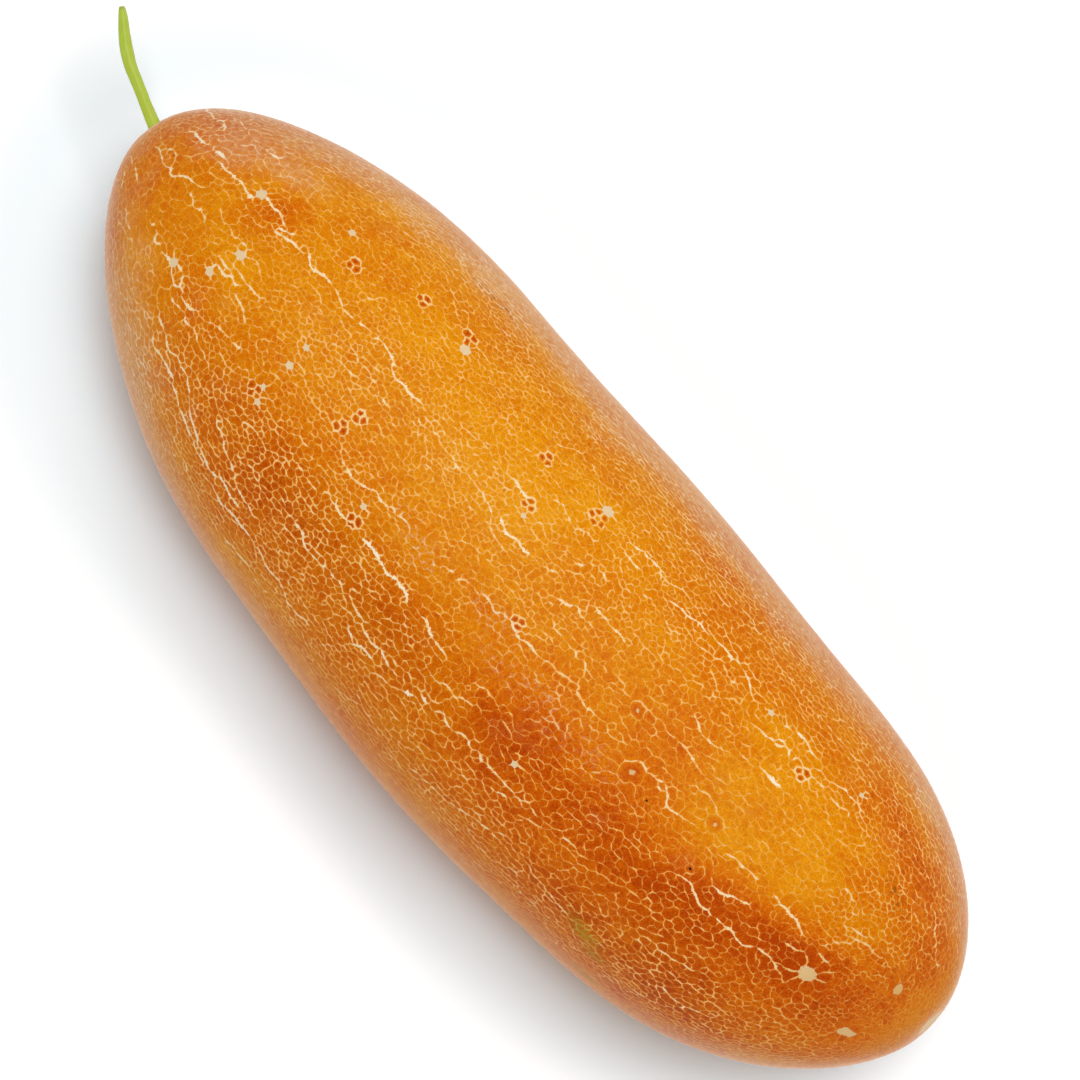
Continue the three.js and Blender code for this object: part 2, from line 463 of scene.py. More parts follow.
def place_on_skin(along_mm, around_degrees):
    """Where on the fruit a place is that the camera sees at this many mm along and degrees around.

    All lists of patches, scars and veins give their places that way.
    """
    x, around = along_mm * MM, math.radians(around_degrees)
    radius = float(section_radius(x))
    height = max(0, radius * math.sin(around) * HEIGHT_TO_WIDTH)
    closer = 1 - height / camera_distance
    view_x, view_y = camera.location[0] - shift[0], camera.location[1] - shift[1]
    y = view_y + (radius * math.cos(around) + float(midline(x)) - view_y) * closer
    if height > 0:
        x = view_x + (x - view_x) * closer
        sideways = (y - float(midline(x))) / float(section_radius(x))
        around = math.acos(min(1, max(-1, sideways)))
    return x, around


def patch(x, around, place):
    """1 in the middle of a soft-edged patch, fading to 0 around it.

    A place is mm along, degrees around, and how far the patch reaches along and around, in mm.
    """
    along_mm, around_degrees, reach_along, reach_around = place
    middle_x, middle_around = place_on_skin(along_mm, around_degrees)
    turn = (around - middle_around + math.pi) % (2 * math.pi) - math.pi
    aside = turn * section_radius(x)
    return np.exp(-(((x - middle_x) / (reach_along * MM)) ** 2) - (aside / (reach_around * MM)) ** 2)


# Where the skin is a deeper, redder orange than the golden rest: each patch, and how much deeper it is.
DEEP_PATCHES = (
    ((-58, 119, 40, 12), 0.3),
    ((-12, 120, 26, 13), 0.2),
    ((23, 115, 17, 14), 0.36),
    ((57, 112, 22, 11), 0.56),
    ((74, 100, 12, 6), 0.08),
    ((84, 102, 11, 8), 0.42),
    ((98, 107, 8, 18), 0.32),
    ((86, 128, 10, 16), 0.22),
    ((98, 62, 7, 11), 0.2),
    ((83, 45, 10, 6), 0.36),
    ((98, 46, 8, 5), 0.1),
    ((74, 42, 9, 6), 0.2),
    ((79, 70, 5, 7), 0.22),
    ((88, 62, 6, 5), 0.15),
    ((68, 46, 6, 5), 0.14),
    ((42, 44, 26, 8), 0.12),
    ((42, 88, 18, 6), 0.02),
    ((11, 110, 10, 9), 0.08),
    ((30, 145, 30, 9), 0.18),
    ((62, 145, 24, 12), 0.36),
    ((-54, 142, 24, 5), 0.17),
    ((-52, 131, 24, 8), 0.1),
    ((-90, 62, 8, 6), 0.15),
    ((0, 30, 110, 6), 0.05),
    ((-112, 132, 8, 22), 0.26),
    ((-108, 45, 8, 12), 0.12),
    ((-92, 70, 5, 9), 0.18),
    ((-47, 31, 9, 5), 0.12),
    ((50, 134, 40, 6), 0.12),
    ((-80, 134, 10, 8), 0.12),
    ((-20, 225, 70, 22), 0.25),
    ((50, 300, 45, 25), 0.3),
)
# Where it is paler and more golden, and how much.
GOLDEN_PATCHES = (
    ((-18, 63, 15, 11), 0.2),
    ((-6, 54, 10, 5), 0.13),
    ((-42, 55, 8, 6), 0.18),
    ((-72, 30, 8, 5), 0.14),
    ((-102, 78, 6, 6), 0.15),
    ((-22, 102, 7, 6), 0.17),
    ((53, 62, 9, 5), 0.13),
    ((78, 38, 6, 5), 0.13),
    ((-27, 126, 16, 5), 0.12),
    ((64, 69, 15, 10), 0.14),
    ((56, 87, 12, 5), 0.2),
    ((38, 126, 9, 14), 0.15),
    ((98, 125, 9, 20), 0.14),
    ((98, 33, 8, 6), 0.15),
    ((-45, 66, 30, 12), 0.08),
    ((-50, 28, 40, 6), 0.22),
    ((-82, 34, 8, 8), 0.12),
    ((-22, 32, 14, 7), 0.1),
    ((72, 86, 8, 5), 0.18),
    ((46, 98, 14, 5), 0.2),
    ((-42, 110, 12, 4), 0.15),
    ((-22, 76, 14, 5), 0.1),
    ((-92, 93, 7, 5), 0.3),
    ((-93, 51, 7, 5), 0.18),
    ((-104, 125, 12, 13), 0.26),
    ((106, 90, 5, 25), 0.15),
    ((10, 103, 9, 5), 0.15),
    ((-90, 143, 9, 13), 0.2),
    ((-66, 144, 9, 12), 0.1),
    ((82, 119, 8, 6), 0.03),
    ((-60, 260, 50, 25), 0.2),
    ((60, 230, 30, 22), 0.15),
)
MIDDLE_DEPTH = 0.36  # of the skin outside all patches


def deepness(x, around, points):
    """How deep the orange is: 0 the most golden, 1 the reddest."""
    depth = MIDDLE_DEPTH + 0.09 * soft_noise(points, 30 * MM, 3) + 0.05 * soft_noise(points, 9 * MM, 4)
    for place, amount in DEEP_PATCHES:
        depth += amount * patch(x, around, place)
    for place, amount in GOLDEN_PATCHES:
        depth -= amount * patch(x, around, place)
    return np.clip(depth, 0, 1)


# Painted shade: where the skin is darker along the flank turned away from the lamp, standing in for shade.
PAINTED_SHADE_PATCHES = (
    ((-46, 121, 31, 9), 0.75),
    ((-10, 121, 20, 9), 0.35),
    ((64, 130, 18, 9), 0.4),
)

# Where the net is thicker and closed (above 0), or thinner with more gaps (below 0), than the rest.
NETTED_PATCHES = (
    ((-62, 132, 30, 16), 0.75),
    ((-15, 128, 34, 13), 0.65),
    ((-40, 108, 26, 10), -0.06),
    ((5, 112, 30, 8), -0.2),
    ((0, 30, 110, 9), 0.58),
    ((-86, 138, 14, 12), 0.25),
    ((60, 132, 26, 16), 0.3),
    ((-103, 85, 16, 50), -0.06),
    ((-92, 116, 12, 14), -0.08),
    ((-34, 78, 45, 14), 0.42),
    ((10, 60, 24, 10), 0.2),
    ((90, 60, 14, 10), 0.25),
    ((66, 106, 18, 13), -0.04),
    ((88, 85, 12, 30), 0.15),
    ((92, 104, 12, 10), -0.25),
    ((88, 142, 16, 12), 0.25),
    ((5, 145, 60, 8), 0.35),
    ((40, 52, 30, 7), 0.3),
    ((66, 140, 14, 9), 0.4),
    ((20, 142, 16, 7), 0.3),
    ((-30, 215, 70, 20), 0.4),
    ((40, 280, 50, 20), 0.4),
)
LEAST_NET, MIDDLE_NET = 0.15, 0.5
SMOOTH_TIP = 18 * MM  # how far from the blossom tip the net starts to thin out


def netting(x, around, points):
    """How strong the net is: 0 none, 0.5 a thin one, 1 a full one."""
    strength = MIDDLE_NET + 0.12 * soft_noise(points, 22 * MM, 8)
    for place, amount in NETTED_PATCHES:
        strength += amount * patch(x, around, place)
    from_tip = np.clip((BLOSSOM_SIDE - x) / SMOOTH_TIP, 0, 1)
    return np.clip(strength, LEAST_NET, 1.0) * (LEAST_NET + (1 - LEAST_NET) * from_tip)


# Where the cells are smaller (below 0) or larger than the rest.
CELL_SIZE_PATCHES = (
    ((-40, 72, 62, 22), -0.2),
    ((-106, 90, 14, 40), 0.4),
    ((48, 74, 26, 12), 0.16),
    ((18, 118, 42, 20), 0.32),
    ((66, 122, 20, 16), 0.25),
    ((94, 100, 12, 26), -0.1),
    ((0, 235, 100, 34), 0.6),
    ((0, 305, 100, 34), 0.6),
)
LEAST_CELL, MOST_CELL = 0.6, 1.8  # smallest and largest cell beside the usual one
TIP_CELL, SMALL_TIP = 0.22, 16 * MM  # how much smaller the cells at the tips are, and how far in that starts


def cell_gap(x, around, points):
    """How far apart the seeds stand."""
    size = 1 + 0.1 * soft_noise(points, 18 * MM, 5)
    for place, amount in CELL_SIZE_PATCHES:
        size += amount * patch(x, around, place)
    to_tip = np.clip(np.minimum(STEM_SIDE + x, BLOSSOM_SIDE - x) / SMALL_TIP, 0, 1)
    return CELL_GAP * np.clip(size, LEAST_CELL, MOST_CELL) * (1 - TIP_CELL + TIP_CELL * to_tip)


# %% [markdown]
# Old spine scars sit in the net as small stars, rings, spots or rosettes. Each is made of seeds too: one
# in the middle, and a ring of them around it, which makes a round cell with rays running out from it. A
# star's middle is bare cork, a ring has skin in it and only a dot of cork at its centre, a spot is a dull
# patch without rays, and a rosette is a clump of small dark cells. Dark specks get a cell each as well.

# %% Scars and specks
# Each scar: mm along, degrees around, radius of its ring of seeds in mm, seeds in the ring.
STAR_SCARS = (
    (85.6, 103, 3.0, 9),
    (-6.9, 52.9, 2.6, 6),
    (-48.7, 53.2, 2.2, 6),
    (-38.5, 104.8, 1.3, 5),
    (-68.5, 97.3, 1.4, 5),
    (-68.5, 107.7, 1.3, 5),
    (-67, 111.6, 1.3, 5),
    (-69, 90.1, 1.3, 5),
    (-80, 54, 1.4, 5),
    (-17, 72, 1.2, 5),
    (66.5, 49, 1.2, 5),
    (43, 54.5, 1.3, 5),
    (-96.9, 67, 2.0, 6),
    (-90.7, 89, 1.9, 6),
    (-92.1, 102, 1.5, 5),
    (-97.8, 113, 1.5, 5),
    (18.4, 118.2, 1.3, 5),
    (30, 210, 2.2, 7),
    (-70, 250, 2.0, 6),
    (75, 300, 2.2, 7),
    (-25, 320, 2.0, 6),
)
RING_SCARS = (
    (34.4, 96, 4.6, 9),
    (52.2, 89, 3.1, 7),
    (26, 83, 3.3, 8),
    (5, 240, 2.4, 7),
)
SPOT_SCARS = (
    (99.1, 82, 2.4, 7),
    (98.1, 118.0, 2.9, 6),
    (99.4, 116.7, 2.9, 6),
)
# A rosette is a scar that healed into a clump of small dark cells, with a stout line round it.
ROSETTES = (
    (-7.4, 56.2, 1.25, 5),
    (-49.9, 49.6, 1.1, 3),
    (-69.4, 110, 0.9, 3),
    (-2, 92, 0.85, 3),
    (-53, 96, 0.85, 3),
    (-61, 53, 0.85, 3),
    (-37.5, 109.5, 0.9, 3),
    (-22.5, 56, 0.85, 3),
    (-52, 90, 0.8, 3),
    (-18, 69, 0.8, 3),
    (-75, 62, 0.85, 3),
    (56, 60, 0.85, 3),
    (0, 200, 0.9, 4),
)
SPECKS = ((56, 103), (82, 22), (40.3, 98))
RING_STRETCH = 1.08  # how much longer than wide a ring of seeds is, along the fruit
RING_WANDER, RADIUS_WANDER = 0.15, 0.1  # how far a ring's seeds stray along it and across it, as shares
UNEVEN_RING = 1.7  # how much further they stray in a ring scar
LONG_RAYED = 9  # a star with this many seeds round it has a second ring, so its rays are long
LONG_RAY, MORE_RAYS = 1.9, 4  # how much wider that second ring is, and how many seeds more it has
CLUMP_MARGIN, CLUMP_SEEDS = 1.4, 8  # the ring of seeds round a rosette: mm outside it, seeds in it


def place_to_angles(along_mm, around_degrees):
    """A place in mm along and degrees around, as the camera sees it, as station and around."""
    x, around = place_on_skin(along_mm, around_degrees)
    return math.acos(-x / (STEM_SIDE if x < 0 else BLOSSOM_SIDE)), around


def ring_of_seeds(along_mm, around_degrees, ring_mm, count, draws, uneven=1.0):
    """Seeds spaced evenly, but not perfectly, on a circle about a place."""
    radius = float(section_radius(np.array(along_mm * MM))) / MM
    start = draws.uniform(0, 2 * math.pi)
    seeds = []
    for k in range(count):
        angle = start + 2 * math.pi * (k + uneven * draws.uniform(-RING_WANDER, RING_WANDER)) / count
        out = ring_mm * (1 + uneven * draws.uniform(-RADIUS_WANDER, RADIUS_WANDER))
        aside = math.degrees(out * math.sin(angle) / radius)
        seeds.append(place_to_angles(along_mm + out * math.cos(angle) * RING_STRETCH, around_degrees + aside))
    return seeds


def mark_seeds(draws):
    """The seeds of the marks' own cells, the kind of each, the seeds round them, and each mark's room."""
    own, kinds, others, rooms = [], [], [], []
    for kind, scars in (("star", STAR_SCARS), ("ring", RING_SCARS), ("spot", SPOT_SCARS)):
        for along_mm, around_degrees, ring_mm, count in scars:
            own.append(place_to_angles(along_mm, around_degrees))
            kinds.append(kind)
            rooms.append((along_mm, around_degrees, ring_mm))
            uneven = UNEVEN_RING if kind == "ring" else 1.0
            others.extend(ring_of_seeds(along_mm, around_degrees, ring_mm, count, draws, uneven))
            if kind == "star" and count >= LONG_RAYED:
                outer_mm = LONG_RAY * ring_mm
                rooms[-1] = (along_mm, around_degrees, outer_mm)
                others.extend(ring_of_seeds(along_mm, around_degrees, outer_mm, count + MORE_RAYS, draws))
    for along_mm, around_degrees, ring_mm, count in ROSETTES:
        own.extend(ring_of_seeds(along_mm, around_degrees, ring_mm, count, draws))
        kinds.extend(["rosette"] * count)
        outer_mm = ring_mm + CLUMP_MARGIN
        others.extend(ring_of_seeds(along_mm, around_degrees, outer_mm, CLUMP_SEEDS, draws))
        rooms.append((along_mm, around_degrees, outer_mm))
    for speck in SPECKS:
        own.append(place_to_angles(*speck))
        kinds.append("speck")
    return own, kinds, others, rooms


# %% [markdown]
# The rest of the seeds are thrown at random, evenly by area, and one that falls too near another is
# dropped. The seeds kept so far are sorted onto shelves, which are cubes of space, so that a new one is
# compared only with those close by.

# %% Scatter the seeds
SEED_DARTS = 300000
RING_CLOSENESS = 0.7  # seeds round a mark may stand this much closer together
SHELF = CELL_GAP * 2.2
NEXT_SHELVES = [(i, j, k) for i in (-1, 0, 1) for j in (-1, 0, 1) for k in (-1, 0, 1)]
PROFILE_START, PROFILE_END, PROFILE_STEPS = 0.02, math.pi - 0.012, 4000  # stations just inside both tips

profile_station = np.linspace(PROFILE_START, PROFILE_END, PROFILE_STEPS + 1)
profile = bare_skin(profile_station, np.full_like(profile_station, math.pi / 2))
profile_radius = section_radius(profile[:, 0])
profile_step = np.linalg.norm(np.diff(profile, axis=0), axis=1)
profile_area = np.concatenate([[0], np.cumsum(profile_step * (profile_radius[1:] + profile_radius[:-1]) / 2)])


def outside_marks(points, rooms):
    """Which points lie outside the rings of all marks."""
    outside = np.ones(len(points), bool)
    for along_mm, around_degrees, ring_mm in rooms:
        middle = bare_skin(*np.array(place_to_angles(along_mm, around_degrees)))
        outside &= ((points - middle) ** 2).sum(axis=1) > (ring_mm * MM) ** 2
    return outside


def too_near(point, shelf, gap, shelves):
    """Whether a seed that was kept before stands within the gap."""
    x, y, z = point
    for i, j, k in NEXT_SHELVES:
        for other_x, other_y, other_z in shelves.get((shelf[0] + i, shelf[1] + j, shelf[2] + k), ()):
            if (x - other_x) ** 2 + (y - other_y) ** 2 + (z - other_z) ** 2 < gap**2:
                return True
    return False


def scatter_seeds():
    """All seeds as station and around, and the kind of each seed that has one."""
    draws = np.random.default_rng(11)
    own, kinds, others, rooms = mark_seeds(np.random.default_rng(12))
    seeds = own + others
    dart_station = np.interp(draws.uniform(0, profile_area[-1], SEED_DARTS), profile_area, profile_station)
    dart_around = draws.uniform(0, 2 * math.pi, SEED_DARTS)
    station = np.concatenate([np.array(seeds)[:, 0], dart_station])
    around = np.concatenate([np.array(seeds)[:, 1], dart_around])
    points = bare_skin(station, around)
    gaps = cell_gap(points[:, 0], around, points) * np.exp(draws.normal(0, GAP_SPREAD, len(points)))
    gaps[len(own) : len(seeds)] *= RING_CLOSENESS
    free = outside_marks(points, rooms)
    free[: len(seeds)] = True
    squeezed = points / np.array([CELL_STRETCH, 1, 1])
    on_shelf = [tuple(row) for row in np.floor(squeezed / SHELF).astype(int).tolist()]
    shelves = {}
    kept = []
    for n, (point, shelf, gap) in enumerate(zip(squeezed.tolist(), on_shelf, gaps.tolist())):
        if free[n] and (n < len(own) or not too_near(point, shelf, gap, shelves)):
            shelves.setdefault(shelf, []).append(point)
            kept.append(n)
    return station[kept], around[kept] % (2 * math.pi), dict(enumerate(kinds))


seed_station, seed_around, seed_kinds = scatter_seeds()
seed_count = len(seed_station)
print(seed_count, "cells on", round(profile_area[-1] * 2 * math.pi / MM**2), "mm2 of skin")

# %% [markdown]
# ## The net: joining the seeds
#
# Each seed's cell is bounded by the seeds that it touches. A Delaunay triangulation finds them, and it
# works on a flat map. The map must not squash shapes anywhere, so it is a sailor's map: the distance
# along the fruit is divided by the radius there. The map joins up round the fruit, and each tip is one
# seed, which all its edge closes on.

# %% Triangles between the seeds
CIRCLE_SHARE = 0.7  # how far a junction lies from the triangle's centroid towards the centre of its circle
MOST_PUSH = 0.32  # the furthest it may lie from the centroid, as a share of the triangle's size
TIP_CLEARANCE = 1.8 * MM  # seeds nearer to the axis than this give way to the seed at the tip
TIP_STEPS = 16  # how many copies of a tip's seed stand along one turn of the map


def station_to_map(station):
    return np.interp(station, profile_station, profile_map) / CELL_STRETCH


def map_to_station(height):
    return np.interp(height * CELL_STRETCH, profile_map, profile_station)


profile_map = np.concatenate([[0], np.cumsum(profile_step * 2 / (profile_radius[1:] + profile_radius[:-1]))])
clear_of_tips = section_radius(station_x(seed_station)) > TIP_CLEARANCE
renumbered = np.cumsum(clear_of_tips) - 1
seed_kinds = {int(renumbered[n]): kind for n, kind in seed_kinds.items() if clear_of_tips[n]}
seed_station, seed_around = seed_station[clear_of_tips], seed_around[clear_of_tips]
seed_count = len(seed_station)
STEM_TIP_SEED, BLOSSOM_TIP_SEED = seed_count, seed_count + 1


def seeds_of(*kinds):
    return [seed for seed, kind in seed_kinds.items() if kind in kinds]


def triangle_middles(corners):
    """A point in each triangle, between its centroid and the centre of its circle."""
    a, b, c = corners[:, 0], corners[:, 1] - corners[:, 0], corners[:, 2] - corners[:, 0]
    twice_area = 2 * (b[:, 0] * c[:, 1] - b[:, 1] * c[:, 0])
    b_square, c_square = (b**2).sum(axis=1), (c**2).sum(axis=1)
    out = np.column_stack([c[:, 1] * b_square - b[:, 1] * c_square, b[:, 0] * c_square - c[:, 0] * b_square])
    centroid = corners.mean(axis=1)
    with np.errstate(divide="ignore", invalid="ignore"):
        push = np.nan_to_num(a + out / twice_area[:, None] - centroid, posinf=0, neginf=0)
    size = np.sqrt(np.abs(twice_area) / 2)
    reach = np.linalg.norm(push, axis=1) + 1e-12
    return centroid + push * np.minimum(CIRCLE_SHARE, MOST_PUSH * size / reach)[:, None]


def join_seeds():
    """The triangles between seeds as rows of three numbers, and each triangle's middle on the map."""
    height = station_to_map(seed_station)
    rows = [np.column_stack([height, seed_around, np.arange(seed_count)])]
    rows.append(rows[0][seed_around > math.pi] - [0, 2 * math.pi, 0])
    rows.append(rows[0][seed_around <= math.pi] + [0, 2 * math.pi, 0])
    tip_around = np.linspace(-math.pi, 3 * math.pi, 2 * TIP_STEPS + 1)
    for tip, tip_height in ((STEM_TIP_SEED, 0), (BLOSSOM_TIP_SEED, profile_map[-1] / CELL_STRETCH)):
        tip_heights, tip_numbers = np.full_like(tip_around, tip_height), np.full_like(tip_around, tip)
        rows.append(np.column_stack([tip_heights, tip_around, tip_numbers]))
    rows = np.concatenate(rows)
    flat = [Vector(row) for row in rows[:, :2].tolist()]
    corners, _, faces, sources, _, _ = geometry.delaunay_2d_cdt(flat, [], [], 0, 1e-7)
    owner = np.array([rows[source[0], 2] for source in sources]).astype(int)
    places = np.array([(corner.x, corner.y) for corner in corners])
    faces = np.array(faces)
    middles = triangle_middles(places[faces])
    seeds = owner[faces]
    once = (middles[:, 1] >= 0) & (middles[:, 1] < 2 * math.pi)
    distinct = (seeds[:, 0] != seeds[:, 1]) & (seeds[:, 1] != seeds[:, 2]) & (seeds[:, 2] != seeds[:, 0])
    return seeds[once & distinct], middles[once & distinct]


triangles, junction_map = join_seeds()
triangle_of_side = {}
for number, (a, b, c) in enumerate(triangles.tolist()):
    triangle_of_side[a, b] = triangle_of_side[b, c] = triangle_of_side[c, a] = number
cell_count = seed_count + 2
paired = all((b, a) in triangle_of_side for a, b in triangle_of_side)
closed = paired and len(triangles) == 2 * cell_count - 4
print(len(triangles), "junctions round", cell_count, "cells; the net closes on itself:", closed)

# %% [markdown]
# ## The net: how strong each line is
#
# Real cracks come in generations. The first ones are long, run along the fruit and stay the widest; later
# ones split the fields between them into smaller ones, and the last are hairlines that often stop
# halfway. To get this, cells are grouped twice: a line between two large groups is wide, one between two
# small groups is narrower, and one inside a group is a hairline or is missing.

# %% Generations of cracks
GROUP_GAPS = (2.2, 5.0)  # distance between the groups' leaders, in cell gaps
GROUP_STRETCH = 1.5  # how much longer than wide a group is, along the fruit
MARK_LINES = (
    # kind, widths in mm round its cells, widths of the rays that leave it; a star's cell has no line
    ("star", (0.0, 0.0), (0.14, 0.36)),
    ("ring", (0.05, 0.24), (0.0, 0.2)),
    ("rosette", (0.24, 0.42), (0.0, 0.24)),
)
WIDTHS_MM = {"hairline": (0.12, 0.26), "second": (0.15, 0.33), "first": (0.18, 0.39)}
GAP_CHANCES = {"hairline": 0.18, "second": 0.1, "first": 0.05}  # how likely such a line is missing
PLAIN_WIDTH, NET_WIDTH = 0.37, 0.52  # share of those widths where there is no net, and what a full net adds
CROSSWISE_WIDTH, LENGTHWISE_WIDTH = 0.82, 0.32  # the same for a line across the fruit, and for one along it

junction_station = map_to_station(junction_map[:, 0])
junction_points = skin_points(junction_station, junction_map[:, 1])
seed_points = bare_skin(seed_station, seed_around)
seed_gap = cell_gap(seed_points[:, 0], seed_around, seed_points)


def group_cells(gap_share, seed):
    """Picks leaders among the seeds, well apart from each other, and gives each seed its nearest leader."""
    order = np.random.default_rng(seed).permutation(seed_count)
    squeezed = seed_points / np.array([CELL_STRETCH * GROUP_STRETCH, 1, 1])
    leaders = []
    free = np.ones(seed_count, bool)
    for n in order:
        if free[n]:
            leaders.append(n)
            free &= ((squeezed - squeezed[n]) ** 2).sum(axis=1) > (gap_share * seed_gap[n]) ** 2
    nearest = np.full(seed_count, np.inf)
    group = np.zeros(seed_count, int)
    for k, n in enumerate(leaders):
        distance = ((squeezed - squeezed[n]) ** 2).sum(axis=1)
        closer = distance < nearest
        nearest[closer], group[closer] = distance[closer], k
    return np.concatenate([group, [-1, -2]])


small_group, large_group = (group_cells(share, 20 + k) for k, share in enumerate(GROUP_GAPS))
sides = np.array([(a, b) for a, b in triangle_of_side if a < b])
side_left = np.array([triangle_of_side[a, b] for a, b in sides.tolist()])
side_right = np.array([triangle_of_side[b, a] for a, b in sides.tolist()])
side_vector = junction_points[side_right] - junction_points[side_left]
side_length = np.linalg.norm(side_vector, axis=1)
side_number = {(a, b): n for n, (a, b) in enumerate(sides.tolist())}

middle_map = junction_map[side_left].copy()
turn = junction_map[side_right] - middle_map
turn[:, 1] = unwound(turn[:, 1])
middle_map += turn / 2
middle_bare = bare_skin(map_to_station(middle_map[:, 0]), middle_map[:, 1])
side_netting = netting(middle_bare[:, 0], middle_map[:, 1], middle_bare)


def line_widths():
    """The width of the line on each side between two cells, 0 where there is none."""
    draws = np.random.default_rng(31)
    count = len(sides)
    drawn = {name: draws.uniform(low, high, count) * MM for name, (low, high) in WIDTHS_MM.items()}
    second = small_group[sides[:, 0]] != small_group[sides[:, 1]]
    first = large_group[sides[:, 0]] != large_group[sides[:, 1]]
    width = np.where(first, drawn["first"], np.where(second, drawn["second"], drawn["hairline"]))
    lengthwise = (side_vector[:, 0] / side_length) ** 2
    width = width * (PLAIN_WIDTH + NET_WIDTH * side_netting)
    width = width * (CROSSWISE_WIDTH + LENGTHWISE_WIDTH * lengthwise)
    inside_group = np.where(second, GAP_CHANCES["second"], GAP_CHANCES["hairline"])
    gap_chance = np.where(first, GAP_CHANCES["first"], inside_group) * np.clip(1.5 - side_netting, 0.3, 1.3)
    width[draws.uniform(0, 1, count) < gap_chance] = 0
    for kind, edge_widths, ray_widths in MARK_LINES:
        edge = np.isin(sides, seeds_of(kind)).any(axis=1)
        touching = np.unique(sides[edge])
        rays = np.isin(sides, touching).all(axis=1) & ~edge
        for chosen, (low, high) in ((edge, edge_widths), (rays, ray_widths)):
            width[chosen] = np.maximum(width[chosen], draws.uniform(low, high, chosen.sum()) * MM)
    width[np.isin(sides, seeds_of("star", "spot")).any(axis=1)] = 0
    return width


side_width = line_widths()
print("lines:", len(sides), "of which missing:", int((side_width == 0).sum()))

# %% [markdown]
# ## The veins
#
# The oldest cracks run lengthwise in broken chains and are the widest lines of all. Each is given by a few
# places that it passes, and the line between them finds its own way along the edges of the cells, so that
# it zigzags as the net does. It likes short ways and lines that are wide already, and it thins out
# towards both ends.

